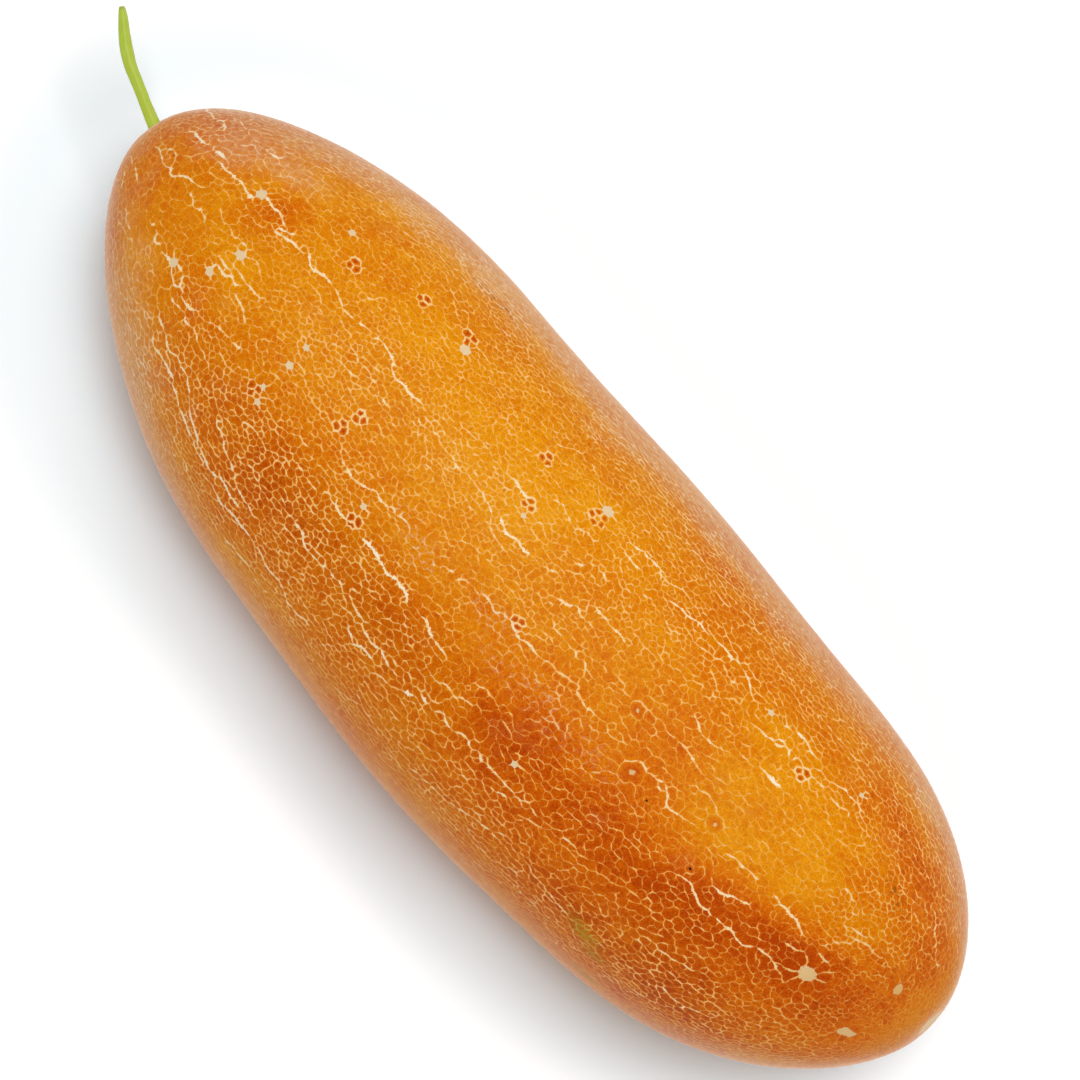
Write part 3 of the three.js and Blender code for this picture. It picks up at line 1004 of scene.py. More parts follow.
# %% Veins
# Each vein: its width in mm, then places that it passes, as mm along and degrees around.
VEINS = (
    (0.76, (-115, 58), (-112, 64), (-107, 66), (-103, 69), (-100, 70))
    + ((-97, 67), (-92, 68), (-90, 72), (-87, 68)),
    (0.56, (-117, 93), (-111, 92), (-108, 87), (-105, 84)),
    (0.52, (-116, 86), (-114, 82), (-112.5, 84)),
    (0.5, (-106.5, 94), (-104, 92), (-100, 92), (-97.5, 93)),
    (0.62, (-107, 115), (-105, 115), (-102.5, 116), (-99, 113), (-95.5, 116), (-93, 114)),
    (0.56, (-118, 148), (-115, 136)),
    (0.5, (-118.5, 130), (-116, 119), (-113.5, 118)),
    (0.5, (-111.5, 131), (-109, 129), (-107, 129)),
    (0.6, (-117, 5), (-113, 40), (-111, 49)),
    (0.56, (-110, 36), (-107.5, 43)),
    (0.62, (-103, 46), (-99, 46)),
    (0.5, (-102, 38), (-100, 38)),
    (0.62, (-93.5, 102), (-88.5, 96), (-86, 95)),
    (0.62, (32.8, 94), (34.6, 92.9), (36.6, 93.8), (39.9, 93.6), (42.3, 93.8)),
    (0.56, (23, 81), (26, 80), (28.5, 82)),
    (0.6, (78, 74), (80.5, 75), (83, 75)),
    (0.54, (74, 91), (77, 92), (78.5, 93)),
    (0.5, (78, 100), (82, 98), (85, 96), (89, 96)),
    (0.5, (82.5, 85), (85.5, 79), (89.5, 79)),
    (0.54, (43, 62), (45.5, 60), (48, 58), (51, 59), (54.5, 56)),
    (0.56, (33, 72), (36.5, 74), (40.5, 74), (43, 74)),
    (0.52, (26, 81), (29, 82), (31, 84)),
    (0.5, (19, 128), (23, 126), (26.5, 124), (29.5, 125)),
    (0.5, (34.5, 126), (36.5, 122), (40, 122)),
    (0.5, (-1, 57), (3, 58), (6, 57)),
    (0.6, (1, 53), (5, 52), (9, 53), (10.5, 55)),
    (0.5, (-2.5, 72), (-2, 67), (1, 66), (4, 67)),
    (0.4, (-11, 29), (-7, 29), (-2, 30), (2, 31), (8, 31)),
    (0.62, (-90, 73), (-80, 72), (-70, 73), (-64, 72)),
    (0.66, (-62, 72), (-56, 73), (-46, 74)),
    (0.48, (-43, 76), (-34, 77), (-26, 77), (-20, 78)),
    (0.80, (-20, 77), (-16, 79), (-10, 77)),
    (0.58, (-7, 76), (-4, 76)),
    (0.52, (-3, 80), (2, 78), (8, 79)),
    (0.52, (4, 75), (10, 74), (14, 74)),
    (0.50, (-62, 80), (-55, 80), (-50, 81)),
    (0.46, (-65, 86), (-58, 86)),
    (0.56, (-49, 100), (-41, 101), (-35, 98), (-29, 98)),
    (0.50, (-23, 99), (-17, 97), (-12, 96)),
    (0.54, (-12, 95), (-6, 95), (1, 95), (5, 93)),
    (0.42, (5, 94), (11, 93), (17, 92), (30, 92)),
    (0.46, (1, 84), (6, 86), (12, 85), (16, 88)),
    (0.62, (-99, 112), (-94, 113), (-88, 112)),
    (0.50, (-88, 112), (-83, 109), (-76, 107)),
    (0.54, (-94, 120), (-87, 119), (-82, 118), (-78, 119)),
    (0.44, (-74, 117), (-68, 119), (-60, 118), (-52, 118)),
    (0.56, (-52, 113), (-44, 112), (-36, 111)),
    (0.92, (-34, 111), (-27, 111), (-19, 112)),
    (0.60, (-18, 111), (-10, 112), (-4, 111)),
    (0.36, (0, 112), (8, 111)),
    (0.64, (-94, 127), (-86, 130), (-80, 129), (-74, 133)),
    (0.78, (-74, 133), (-68, 137), (-62, 138), (-54, 137)),
    (0.70, (-90, 135), (-79, 136), (-72, 137), (-64, 141)),
    (0.74, (-60, 141), (-54, 140), (-47, 141)),
    (0.60, (-70, 126), (-65, 130), (-58, 133), (-50, 133)),
    (0.62, (-46, 124), (-38, 126), (-31, 124), (-25, 125)),
    (0.66, (-25, 125), (-19, 128), (-12, 129), (-8, 127)),
    (0.84, (-9, 129), (-5, 128), (-1, 126)),
    (0.56, (0, 125), (7, 125), (14, 125), (23, 122)),
    (0.70, (-23, 130), (-18, 132), (-13, 131)),
    (0.46, (-13, 134), (-8, 131)),
    (0.60, (-47, 141), (-41, 143), (-34, 145), (-26, 144)),
    (0.48, (-76, 145), (-68, 148), (-60, 151)),
    (0.62, (-55, 152), (-47, 151), (-38, 151)),
    (0.54, (5, 147), (11, 145), (15, 145)),
    (0.54, (13, 146), (19, 142), (27, 139)),
    (0.54, (-4, 119), (0, 118), (5, 116)),
    (0.42, (0, 54), (5, 51), (10, 53), (16, 51)),
    (0.60, (14, 57), (20, 54), (26, 54), (33, 53), (40, 56)),
    (0.40, (24, 58), (30, 57), (38, 58)),
    (0.92, (47, 54), (51, 52)),
    (0.50, (51, 52), (57, 55), (63, 53), (71, 54)),
    (0.46, (43, 61), (50, 57), (55, 57), (62, 58), (69, 57)),
    (0.78, (50.8, 68.6), (53.4, 68.4), (56, 68.6)),
    (0.38, (10, 37), (18, 38), (23, 37), (32, 39)),
    (0.36, (35, 42), (48, 43), (60, 42), (70, 44)),
    (0.44, (30, 80), (37, 81), (43, 82)),
    (0.44, (44, 84), (50, 86), (54, 88)),
    (0.52, (36, 92), (40, 92), (45, 95), (50, 93)),
    (0.56, (56, 94), (60, 91), (66, 90)),
    (0.50, (70, 90), (76, 91), (80, 95)),
    (0.66, (60, 102), (65, 100), (68, 99)),
    (0.52, (55, 107), (62, 108), (70, 107), (78, 107), (84, 108)),
    (0.60, (41, 109), (46, 109)),
    (0.44, (33, 92), (37, 93)),
    (0.48, (60, 128), (67, 127), (74, 124)),
    (0.48, (62, 144), (68, 141), (75, 142), (80, 138)),
    (0.46, (60, 153), (68, 150), (73, 147)),
    (0.48, (38, 139), (44, 142), (50, 145)),
    (0.44, (30, 151), (38, 152), (46, 150)),
    (0.46, (83, 92), (88, 80), (94, 78)),
    (0.44, (91, 47), (97, 52), (101, 60)),
    (0.40, (-25, 49), (-18, 46)),
    (0.62, (-26, 66), (-22, 68), (-18, 68)),
    (0.42, (-28, 56), (-22, 52)),
    (0.48, (-16, 62), (-10, 63), (-3, 61)),
    (0.40, (-60, 43), (-54, 48), (-49, 52)),
    (0.40, (-66, 61), (-70, 68)),
    (0.54, (-90, 91), (-84, 93), (-80, 95)),
    (0.50, (-94, 98), (-90, 95), (-84, 99), (-80, 100)),
    (0.42, (-100, 84), (-92, 86), (-86, 88)),
    (0.56, (-80, 200), (-60, 204), (-40, 203)),
    (0.60, (-50, 218), (-30, 221), (-8, 220)),
    (0.52, (0, 205), (22, 208), (45, 206)),
    (0.48, (-85, 232), (-62, 236), (-45, 235)),
    (0.50, (-20, 245), (5, 248), (30, 247)),
    (0.50, (35, 226), (58, 228), (80, 224)),
    (0.46, (-70, 292), (-45, 296), (-25, 294)),
    (0.54, (0, 300), (25, 305), (48, 303)),
    (0.48, (-40, 330), (-18, 334), (5, 332)),
    (0.46, (40, 335), (60, 338), (78, 334)),
    (0.44, (60, 268), (80, 270)),
)
VEIN_BREAK = 0.12  # share of a vein's lines that are skipped
VEIN_WIDTH_SHARE = 0.79  # how much of the list's width its lines get, before each is varied by the next pair
VEIN_VARIES = (0.45, 1.3)
VEIN_END, VEIN_SWELL, VEIN_TAPER = 0.55, 0.45, 3  # width share at an end, its gain, over how many lines
EASY_WIDTH = 0.8 * MM  # a line this wide makes its way about half as long to a vein


def find_way(start, goal, neighbours):
    """The shortest way from one junction to another along the cells' edges, as the sides it takes."""
    best = {start: 0.0}
    came = {}
    queue = [(0.0, start)]
    while queue:
        cost, at = heapq.heappop(queue)
        if at == goal:
            break
        if cost > best[at]:
            continue
        for there, side, step in neighbours[at]:
            reached = cost + step
            if reached < best.get(there, math.inf):
                best[there] = reached
                came[there] = (at, side)
                heapq.heappush(queue, (reached, there))
    way = []
    while goal != start:
        goal, side = came[goal]
        way.append(side)
    return way[::-1]


def grow_veins():
    """Widens the lines that the veins pass along."""
    draws = np.random.default_rng(41)
    step = side_length * draws.uniform(0.85, 1.15, len(sides)) / (0.9 + side_width / EASY_WIDTH)
    neighbours = [[] for _ in triangles]
    for side, (left, right, cost) in enumerate(zip(side_left.tolist(), side_right.tolist(), step.tolist())):
        neighbours[left].append((right, side, cost))
        neighbours[right].append((left, side, cost))
    for width_mm, *places in VEINS:
        targets = skin_points(*np.array([place_to_angles(*place) for place in places]).T)
        nearest = [int(((junction_points - target) ** 2).sum(axis=1).argmin()) for target in targets]
        way = []
        for start, goal in zip(nearest, nearest[1:]):
            way.extend(find_way(start, goal, neighbours))
        for k, side in enumerate(way):
            taper = min(1, VEIN_END + VEIN_SWELL * min(k + 1, len(way) - k) / VEIN_TAPER)
            width = width_mm * MM * taper * VEIN_WIDTH_SHARE * draws.uniform(*VEIN_VARIES)
            if draws.uniform() > VEIN_BREAK:
                side_width[side] = max(side_width[side], width)


grow_veins()
print("veins:", len(VEINS), "widest line", round(side_width.max() / MM, 2), "mm")

# %% [markdown]
# A strong crack runs on nearly straight through a place where a weaker one ends on it. So each junction
# is pulled towards the straight line between the far ends of its two widest lines, and the more so the
# weaker the third is.

# %% Straighten the strong lines
PULL_ROUNDS = 2
PULL = 0.3  # share of the way to the straight line, in each round
PULL_GAIN = 1.6  # how soon a third line that is narrower lets the junction go
LEAST_SECOND = 0.01 * MM  # keeps the share of widths from being a division by 0


def straight_junctions(places):
    """The junctions' places on the map after the pull."""
    ends, far_ends = np.concatenate([side_left, side_right]), np.concatenate([side_right, side_left])
    meeting = np.argsort(ends, kind="stable").reshape(-1, 3)
    widths = side_width[meeting % len(sides)]
    order = np.argsort(-widths, axis=1)
    meeting, widths = np.take_along_axis(meeting, order, axis=1), np.take_along_axis(widths, order, axis=1)
    through = np.clip(PULL_GAIN * (1 - widths[:, 2] / np.maximum(widths[:, 1], LEAST_SECOND)), 0, 1)
    through[np.isin(triangles, list(seed_kinds)).any(axis=1)] = 0
    for _ in range(PULL_ROUNDS):
        reach = places[far_ends[meeting[:, :2]]] - places[:, None]
        reach[..., 1] = unwound(reach[..., 1])
        places = places + PULL * through[:, None] * reach.mean(axis=1)
    return places


junction_map = straight_junctions(junction_map)
junction_points = skin_points(map_to_station(junction_map[:, 0]), junction_map[:, 1])
turn = junction_map[side_right] - junction_map[side_left]
turn[:, 1] = unwound(turn[:, 1])
side_length = np.linalg.norm(junction_points[side_right] - junction_points[side_left], axis=1)
print("sides are", (np.percentile(side_length, [5, 50, 95]) / MM).round(2), "mm long")

# %% [markdown]
# ## The net: the mesh
#
# A cell is a ring of points on its crack lines and one point in its middle, joined as a fan of triangles.
# The ring is shared with the cells around it, so the mesh is closed. Cracks are never straight, so a long
# side gets one or two points between its junctions, pushed a little sideways. A side whose line is
# missing keeps its points, but their width is below zero, so that the lines which end there taper off.
# Some run on past their junction as a short stub.

# %% Points of the net
ONE_POINT_FROM, TWO_POINTS_FROM = 1.2 * MM, 2.4 * MM  # how long a side is for one or two points along it
SIDE_WANDER = 0.13  # how far they are pushed aside, as a share of the side's length
NO_LINE = -0.34 * MM
JUNCTION_SHARE = 0.94  # width at a junction, as a share of the widest line that meets there
POINT_VARIES = (0.7, 1.15)  # width at a point between junctions, as a share of its own line's
STUB_CHANCE, STUB_FROM, STUB_SHARE = 0.3, 0.2 * MM, 0.35  # how often, on how wide a line, and how wide it is

point_draws = np.random.default_rng(51)
junction_width = np.full(len(triangles), NO_LINE)
line_there = side_width > 0
for end in (side_left, side_right):
    np.maximum.at(junction_width, end[line_there], side_width[line_there] * JUNCTION_SHARE)

side_points = np.where(side_length > TWO_POINTS_FROM, 2, np.where(side_length > ONE_POINT_FROM, 1, 0))
star_sides = np.isin(sides, seeds_of("star")).any(axis=1)
side_points[star_sides] = np.maximum(side_points[star_sides], 1)
extra_side = np.repeat(np.arange(len(sides)), side_points)
first_extra = np.concatenate([[0], np.cumsum(side_points)[:-1]])
extra_place = np.arange(len(extra_side)) - first_extra[extra_side] + 1
share = (extra_place / (side_points[extra_side] + 1))[:, None]
aside = point_draws.uniform(-SIDE_WANDER, SIDE_WANDER, len(extra_side))[:, None]
run = turn[extra_side]
across = np.column_stack([-run[:, 1], run[:, 0]])
extra_map = junction_map[side_left][extra_side] + run * share + across * aside
extra_width = side_width[extra_side] * point_draws.uniform(*POINT_VARIES, len(extra_side))
stub = point_draws.uniform(0, 1, len(extra_side)) < STUB_CHANCE
near_end = np.where(extra_place == 1, side_left[extra_side], side_right[extra_side])
width_there = junction_width[near_end]
extra_width[~line_there[extra_side]] = NO_LINE
short_line = stub & ~line_there[extra_side] & (width_there > STUB_FROM)
extra_width[short_line] = width_there[short_line] * STUB_SHARE

crest_map = np.concatenate([junction_map, extra_map])
crest_width = np.concatenate([junction_width, extra_width])
first_extra += len(triangles)


def walk_rings():
    """Lists the points of each cell's edge in order round its seed, and the side that leads to each."""
    first_neighbour = {}
    for a, b in triangle_of_side:
        first_neighbour.setdefault(a, b)
    corners = triangles.tolist()
    found, found_sides = [], []
    for seed in range(cell_count):
        start = neighbour = first_neighbour[seed]
        ring, ring_sides = [], []
        while True:
            side = side_number[min(seed, neighbour), max(seed, neighbour)]
            along = range(first_extra[side], first_extra[side] + side_points[side])
            ring.extend(along if triangle_of_side[seed, neighbour] == side_right[side] else reversed(along))
            number = triangle_of_side[seed, neighbour]
            ring.append(number)
            ring_sides.extend([side] * (side_points[side] + 1))
            neighbour = next(c for c in corners[number] if c not in (seed, neighbour))
            if neighbour == start:
                break
        found.append(ring)
        found_sides.extend(ring_sides)
    return found, np.array(found_sides)


rings, reached_by = walk_rings()
ring_sizes = np.array([len(ring) for ring in rings])
ring_starts = np.concatenate([[0], np.cumsum(ring_sizes)[:-1]])
face_cell = np.repeat(np.arange(cell_count), ring_sizes)
face_from = np.concatenate(rings)
following = np.arange(len(face_from)) + 1
following[ring_starts + ring_sizes - 1] = ring_starts
face_to = face_from[following]
face_side = reached_by[following]
print("points round a cell:", round(ring_sizes.mean(), 1), "triangles:", len(face_from))

# %% [markdown]
# The middle of a cell is the mean of its ring. Rings that cross the line where `around` starts again are
# unrolled before the mean is taken. The cells at the two tips close on the tips themselves.

# %% Middles of the cells
unrolled = crest_map[face_from]
home = np.concatenate([seed_around, [0, 0]])[face_cell]
unrolled[:, 1] -= 2 * math.pi * np.round((unrolled[:, 1] - home) / (2 * math.pi))
middles = np.stack([np.bincount(face_cell, unrolled[:, k]) / ring_sizes for k in (0, 1)], axis=1)

skin_station = map_to_station(np.concatenate([crest_map[:, 0], middles[:, 0]]))
skin_around = np.concatenate([crest_map[:, 1], middles[:, 1]]) % (2 * math.pi)
crest_count = len(crest_map)
skin_station[crest_count + STEM_TIP_SEED] = 0
skin_station[crest_count + BLOSSOM_TIP_SEED] = math.pi
skin_vertices = skin_points(skin_station, skin_around)
skin_faces = np.column_stack([face_to, face_from, crest_count + face_cell])
corner_points = skin_vertices[skin_faces]
edge_run = corner_points[:, 1] - corner_points[:, 0]
spoke = corner_points[:, 2] - corner_points[:, 0]
middle_distance = np.linalg.norm(np.cross(edge_run, spoke), axis=1) / np.linalg.norm(edge_run, axis=1)
crossed = np.cross(corner_points[:, 1], corner_points[:, 2])
volume = np.einsum("ij,ij->i", corner_points[:, 0], crossed).sum() / 6
print("volume inside the skin:", round(volume * 1e6), "cm3; positive means that it faces outwards")

# %% [markdown]
# ## What the skin carries
#
# The finish reads its pattern from attributes of the mesh. Some belong to the corners of the triangles:
# the distance from the crack, the line's width, and how much of a scar or a speck there is. They are
# exact there, because inside one triangle the distance from its side grows evenly. The rest belong to the
# points. They say how deep the orange is, how high the skin stands, where the painted sheen lies (a pale
# tone, mostly near the outline, that stands in for reflected light), where the painted shade darkens the
# flank turned away from the lamp, and where the faded cork and the scuffs and stains are.

# %% Patches on the skin
# Each patch: mm along, degrees around, reach along and around in mm, and how strong it is.
SCUFFS = (
    ((-24, 100, 5, 2.4), 0.7),
    ((-30, 97, 4, 1.6), 0.5),
    ((-6, 96, 6, 2.2), 0.7),
    ((2, 103, 5, 2.0), 0.5),
    ((12, 100, 5, 2.6), 0.8),
    ((19, 104, 4, 1.8), 0.6),
    ((24, 98, 4, 2.0), 0.5),
    ((30, 102, 5, 2.2), 0.4),
)
GREEN_MARKS = (
    ((52, 144, 3.2, 1.8), 1.0),
    ((56, 149, 2.6, 1.2), 0.9),
    ((49, 141, 2.4, 1.4), 0.6),
    ((58, 166, 3, 2), 0.8),
)
BROWN_MARKS = (
    ((-54, 29, 3.4, 0.9), 0.8),
    ((-49, 27, 2.6, 0.8), 0.6),
    ((84, 59, 2.6, 0.8), 0.7),
    ((87.5, 62, 2.4, 1.2), 0.6),
    ((52, 50, 1.6, 0.6), 0.4),
)
# Painted sheen: a pale tone laid into the colour, mostly near the outline where the skin turns away from the
# camera, which stands in for reflected light; the two small patches near the stalk's end are a painted
# highlight.
PAINTED_SHEEN_PATCHES = (
    ((-93, 51, 6, 4), 0.55),
    ((-106, 55, 6, 5), 0.45),
    ((-55, 14, 58, 11), 0.8),
    ((-30, -14, 66, 16), 0.22),
    ((-80, 10, 16, 7), 0.5),
    ((25, 13, 50, 11), 0.75),
    ((88, 12, 20, 10), 0.5),
    ((-104, 18, 14, 14), 0.75),
    ((-96, 157, 22, 14), 0.85),
    ((-70, 190, 36, 18), 0.3),
    ((-60, 172, 30, 9), 0.5),
)
# Where the cork is a dull gold and not cream.
FADED_PATCHES = (
    ((93, 106, 12, 15), 1.0),
    ((99, 82, 4, 4), 0.7),
    ((34.4, 96, 1.6, 1.6), 0.8),
    ((52.2, 89, 1.6, 1.6), 0.8),
    ((26, 83, 1.6, 1.6), 0.8),
)
STRAW_REACH = 2.6 * MM  # of the flower's scar
CELL_TINT = 0.07  # how much one cell's depth of colour differs from the next
MARK_TINTS = (("rosette", 0.9), ("ring", 0.4))  # how much deeper the colour is inside these marks


def sum_of_patches(places, x, around):
    return np.clip(sum(amount * patch(x, around, place) for place, amount in places), 0, 1)


bare_vertices = bare_skin(skin_station, skin_around)
bare_x = bare_vertices[:, 0]
deep = deepness(bare_x, skin_around, bare_vertices)
deep[crest_count:] += np.random.default_rng(61).normal(0, CELL_TINT, cell_count)
for kind, tint in MARK_TINTS:
    deep[crest_count + np.array(seeds_of(kind))] += tint
from_scar = np.linalg.norm(skin_vertices - flower_scar, axis=1)
point_attributes = {
    "deep": np.clip(deep, 0, 1),
    "scuff": sum_of_patches(SCUFFS, bare_x, skin_around),
    "green": sum_of_patches(GREEN_MARKS, bare_x, skin_around),
    "brown": sum_of_patches(BROWN_MARKS, bare_x, skin_around),
    "painted_sheen": sum_of_patches(PAINTED_SHEEN_PATCHES, bare_x, skin_around),
    "painted_shade": sum_of_patches(PAINTED_SHADE_PATCHES, bare_x, skin_around),
    "faded": sum_of_patches(FADED_PATCHES, bare_x, skin_around),
    "straw": np.clip(1.6 - from_scar / STRAW_REACH, 0, 1),
    "ridge": np.concatenate([np.clip(crest_width / MM, 0, 1), np.zeros(cell_count)]),
    "crown": np.concatenate([np.zeros(crest_count), np.ones(cell_count)]),
}

# %% [markdown]
# A line's width at its end depends on what it meets: a narrow line that joins a wide one flares out a
# little. The cork of a scar fades from its middle towards its edge, and the finish draws it where enough
# is left.

# %% Values at the corners
LINE_FLARE = 0.45  # how much of a wider line's width a narrower one takes on where it meets it
STAR_POINT, STAR_DENT = 0.95, 0.4  # cork at a star's edge: where a ray leaves it, and between two rays
RING_DOT = 0.66  # cork in the middle of a ring
SPOT_EDGE, SPOT_JOIN = 0.36, 0.66  # cork at a spot's edge, and where two spots touch


def end_width(point, side):
    """The width of a side's line at one of its points."""
    own = side_width[side]
    met = crest_width[point]
    joins = (point < len(triangles)) & (own > 0)
    return np.where(joins, own + LINE_FLARE * (met - own), met)


star_faces, ring_faces, spot_faces, speck_faces = (
    np.isin(face_cell, seeds_of(kind)) for kind in ("star", "ring", "spot", "speck")
)
corner_crack = np.zeros((len(skin_faces), 3))
corner_crack[:, 2] = middle_distance
corner_width = np.zeros((len(skin_faces), 3))
corner_width[:, 0] = end_width(face_to, face_side)
corner_width[:, 1] = end_width(face_from, face_side)
corner_width[:, 2] = corner_width[:, :2].mean(axis=1)
corner_cork = np.zeros((len(skin_faces), 3))
corner_cork[star_faces, 2] = 1
for corner, point in ((0, face_to), (1, face_from)):
    corner_cork[star_faces, corner] = np.where(point[star_faces] < len(triangles), STAR_POINT, STAR_DENT)
corner_cork[ring_faces, 2] = RING_DOT
corner_cork[spot_faces] = (SPOT_EDGE, SPOT_EDGE, 1)
between_spots = np.isin(sides, seeds_of("spot")).all(axis=1)
corner_cork[between_spots[face_side]] = (SPOT_JOIN, SPOT_JOIN, 1)
corner_speck = np.zeros((len(skin_faces), 3))
corner_speck[speck_faces, 2] = 1
corner_attributes = {
    "crack_distance": corner_crack / MM,
    "line_width": corner_width / MM,
    "cork": corner_cork,
    "speck": corner_speck,
}
print("attributes:", ", ".join([*point_attributes, *corner_attributes]))

# %% [markdown]
# The skin also gets a flat layout, for tools that paint it onto one flat sheet. Round the fruit it is a
# strip, cut along the underside where nobody sees the join, and each tip is a small disc beside the
# strip.

# %% Flat layout
CAP_RADIUS = 12 * MM  # where the fruit is thinner than this, its skin lies in a tip's disc
STRIP_PAD = 0.02
STRIP_HEIGHT = 0.88
CAP_SCALE = 3.6  # layout widths in a metre
CAP_CENTRES = ((0.06, 0.945), (0.18, 0.945))

profile_arc = np.concatenate([[0], np.cumsum(profile_step)])
blunt = np.flatnonzero(profile_radius > CAP_RADIUS)
strip_start, strip_end = profile_arc[blunt[0]], profile_arc[blunt[-1]]


def flat_layout():
    station, around = skin_station[skin_faces], skin_around[skin_faces]
    share = (np.interp(station, profile_station, profile_arc) - strip_start) / (strip_end - strip_start)
    from_seam = (around - 1.5 * math.pi) % (2 * math.pi)
    wraps = np.ptp(from_seam, axis=1) > math.pi
    from_seam[wraps] -= np.where(from_seam[wraps] > math.pi, 2 * math.pi, 0)
    layout = np.stack([from_seam / (2 * math.pi), share], axis=-1)
    layout = STRIP_PAD + layout * [1 - 2 * STRIP_PAD, STRIP_HEIGHT - STRIP_PAD]
    middle_x = bare_x[skin_faces].mean(axis=1)
    in_cap = section_radius(middle_x) < CAP_RADIUS
    for side, tip, centre in ((-1, stem_root, CAP_CENTRES[0]), (1, blossom_tip, CAP_CENTRES[1])):
        chosen = in_cap & (np.sign(middle_x) == side)
        layout[chosen] = (corner_points[chosen][..., 1:] - tip[1:]) * CAP_SCALE + centre
    return layout


skin_layout = flat_layout()
print("layout spans", skin_layout.min(axis=(0, 1)).round(3), "to", skin_layout.max(axis=(0, 1)).round(3))


# %% Make the mesh
def make_skin_mesh():
    mesh = bpy.data.meshes.new("netted_fruit")
    mesh.from_pydata(skin_vertices.tolist(), [], skin_faces.tolist())
    for domain, attributes in (("POINT", point_attributes), ("CORNER", corner_attributes)):
        for name, values in attributes.items():
            attribute = mesh.attributes.new(name, "FLOAT", domain)
            attribute.data.foreach_set("value", values.astype(np.float32).ravel())
    mesh.uv_layers.new(name="OFBake").data.foreach_set("uv", skin_layout.astype(np.float32).ravel())
    return mesh


netted_fruit = bpy.data.objects.new("netted_fruit", make_skin_mesh())
bpy.context.collection.objects.link(netted_fruit)
fruit_mesh = netted_fruit.data
print("netted_fruit:", len(fruit_mesh.vertices), "points", len(fruit_mesh.polygons), "triangles")

# %% [markdown]
# ## The finish of the skin
#
# The skin is a waxy rubbery rind over deep orange flesh. Its colour runs from golden, where it is thin,
# to a burnt orange where it was in the sun, with mottling at three sizes, and with a painted sheen: a pale
# tone laid into the colour near the outline, which stands in for reflected light. On top lies the cork:
# cream where it is thick, and only a lighter orange where it is a hairline.
# The edge of a line is ragged, which a little noise in its distance gives.

# %% Skin colours
SKIN_COLOURS = (
    (0.00, "EC9A0C"),
    (0.16, "E68E06"),
    (0.32, "E08104"),
    (0.48, "DD7403"),
    (0.63, "D56503"),
    (0.80, "C75302"),
    (1.00, "B43F01"),
)
# Cork by how wide its line is: hairlines are a lighter orange, thick ones cream.
CORK_COLOURS = (
    (0.10, "F4A83E"),
    (0.28, "F8C072"),
    (0.46, "FADDA8"),
    (0.75, "FCEBCB"),
)
SCAR_COLOUR = "E8CCA0"
CORK_IN_PAINTED_SHEEN = "FBEBD6"  # the cork under the painted sheen
LILAC_COLOUR = "E2BFA8"
GREEN_COLOUR = "8B9A1E"
BROWN_COLOUR = "7C430C"
# The pale tone of the painted sheen
PAINTED_SHEEN_COLOUR = "E2C49C"
# The painted shade on the flank turned away from the lamp
PAINTED_SHADE_COLOUR = "6E3204"
FADED_COLOUR = "DDA54E"
STRAW_COLOUR = "E0B468"
SPECK_COLOUR = "2E1C0A"
SKIN_ROUGHNESS, CORK_ROUGHNESS = 0.55, 0.75

# %% [markdown]
# The lines come first, because the colour, the gloss and the relief all read them. Then come the skin
# between them and the cork, and last the material that lays one over the other.

# %% Lines in the skin
SWELL_SIZE, SWELL = 1.1 * MM, (0.45, 1.5)  # along a line its width varies between these shares
RAGGED_SIZE = 0.7 * MM
RAGGED_SHARE, RAGGED_MM = 0.7, 0.14  # how far a line's edge strays: a share of its width, and so much more
EDGE_MM = (-0.045, 0.055)  # over which a line fades in, from outside its edge to inside
FAINT_MM, STRONG_MM = 0.03, 0.3  # widths at which a line is as faint and as strong as it gets
OPACITY = (0.28, 0.97)  # how much cork such a line shows
SCAR_RAGGED, SCAR_EDGE = 0.3, (0.46, 0.56)  # how far a scar's edge strays, and over which amounts it fades in
PALE_MM, PALING_MM = 0.8, 0.25  # how far beside a line the skin is paler; a line so wide pales it fully


def line_amounts(tree, place):
    """How much cork shows, where it stands proud, how near a line is, and where an old scar is."""
    swell = spread(tree, noise(tree, place, SWELL_SIZE, detail=1.0), 0.3, 0.7, *SWELL, smooth=False)
    width = calculate(tree, "MULTIPLY", attribute(tree, "line_width"), swell)
    ragged = noise(tree, place, RAGGED_SIZE, detail=3.0, Roughness=0.65)
    reach = calculate(tree, "MULTIPLY_ADD", width, RAGGED_SHARE, RAGGED_MM)
    shifted = calculate(tree, "MULTIPLY", calculate(tree, "SUBTRACT", ragged, 0.5), reach)
    distance = calculate(tree, "ADD", attribute(tree, "crack_distance"), shifted)
    inside = calculate(tree, "MULTIPLY_ADD", width, 0.5, calculate(tree, "MULTIPLY", distance, -1.0))
    line = spread(tree, inside, *EDGE_MM)
    opacity = spread(tree, width, FAINT_MM, STRONG_MM, *OPACITY, smooth=False)
    net = calculate(tree, "MULTIPLY", line, opacity)

    level = calculate(tree, "ADD", attribute(tree, "cork"), -SCAR_RAGGED / 2)
    scar = spread(tree, calculate(tree, "MULTIPLY_ADD", ragged, SCAR_RAGGED, level), *SCAR_EDGE)
    near = spread(tree, attribute(tree, "crack_distance"), 0.0, PALE_MM, 1.0, 0.0)
    near = calculate(tree, "MULTIPLY", near, calculate(tree, "MULTIPLY", width, 1 / PALING_MM, clamp=True))
    amount, proud = calculate(tree, "MAXIMUM", net, scar), calculate(tree, "MAXIMUM", line, scar)
    return amount, proud, near, scar


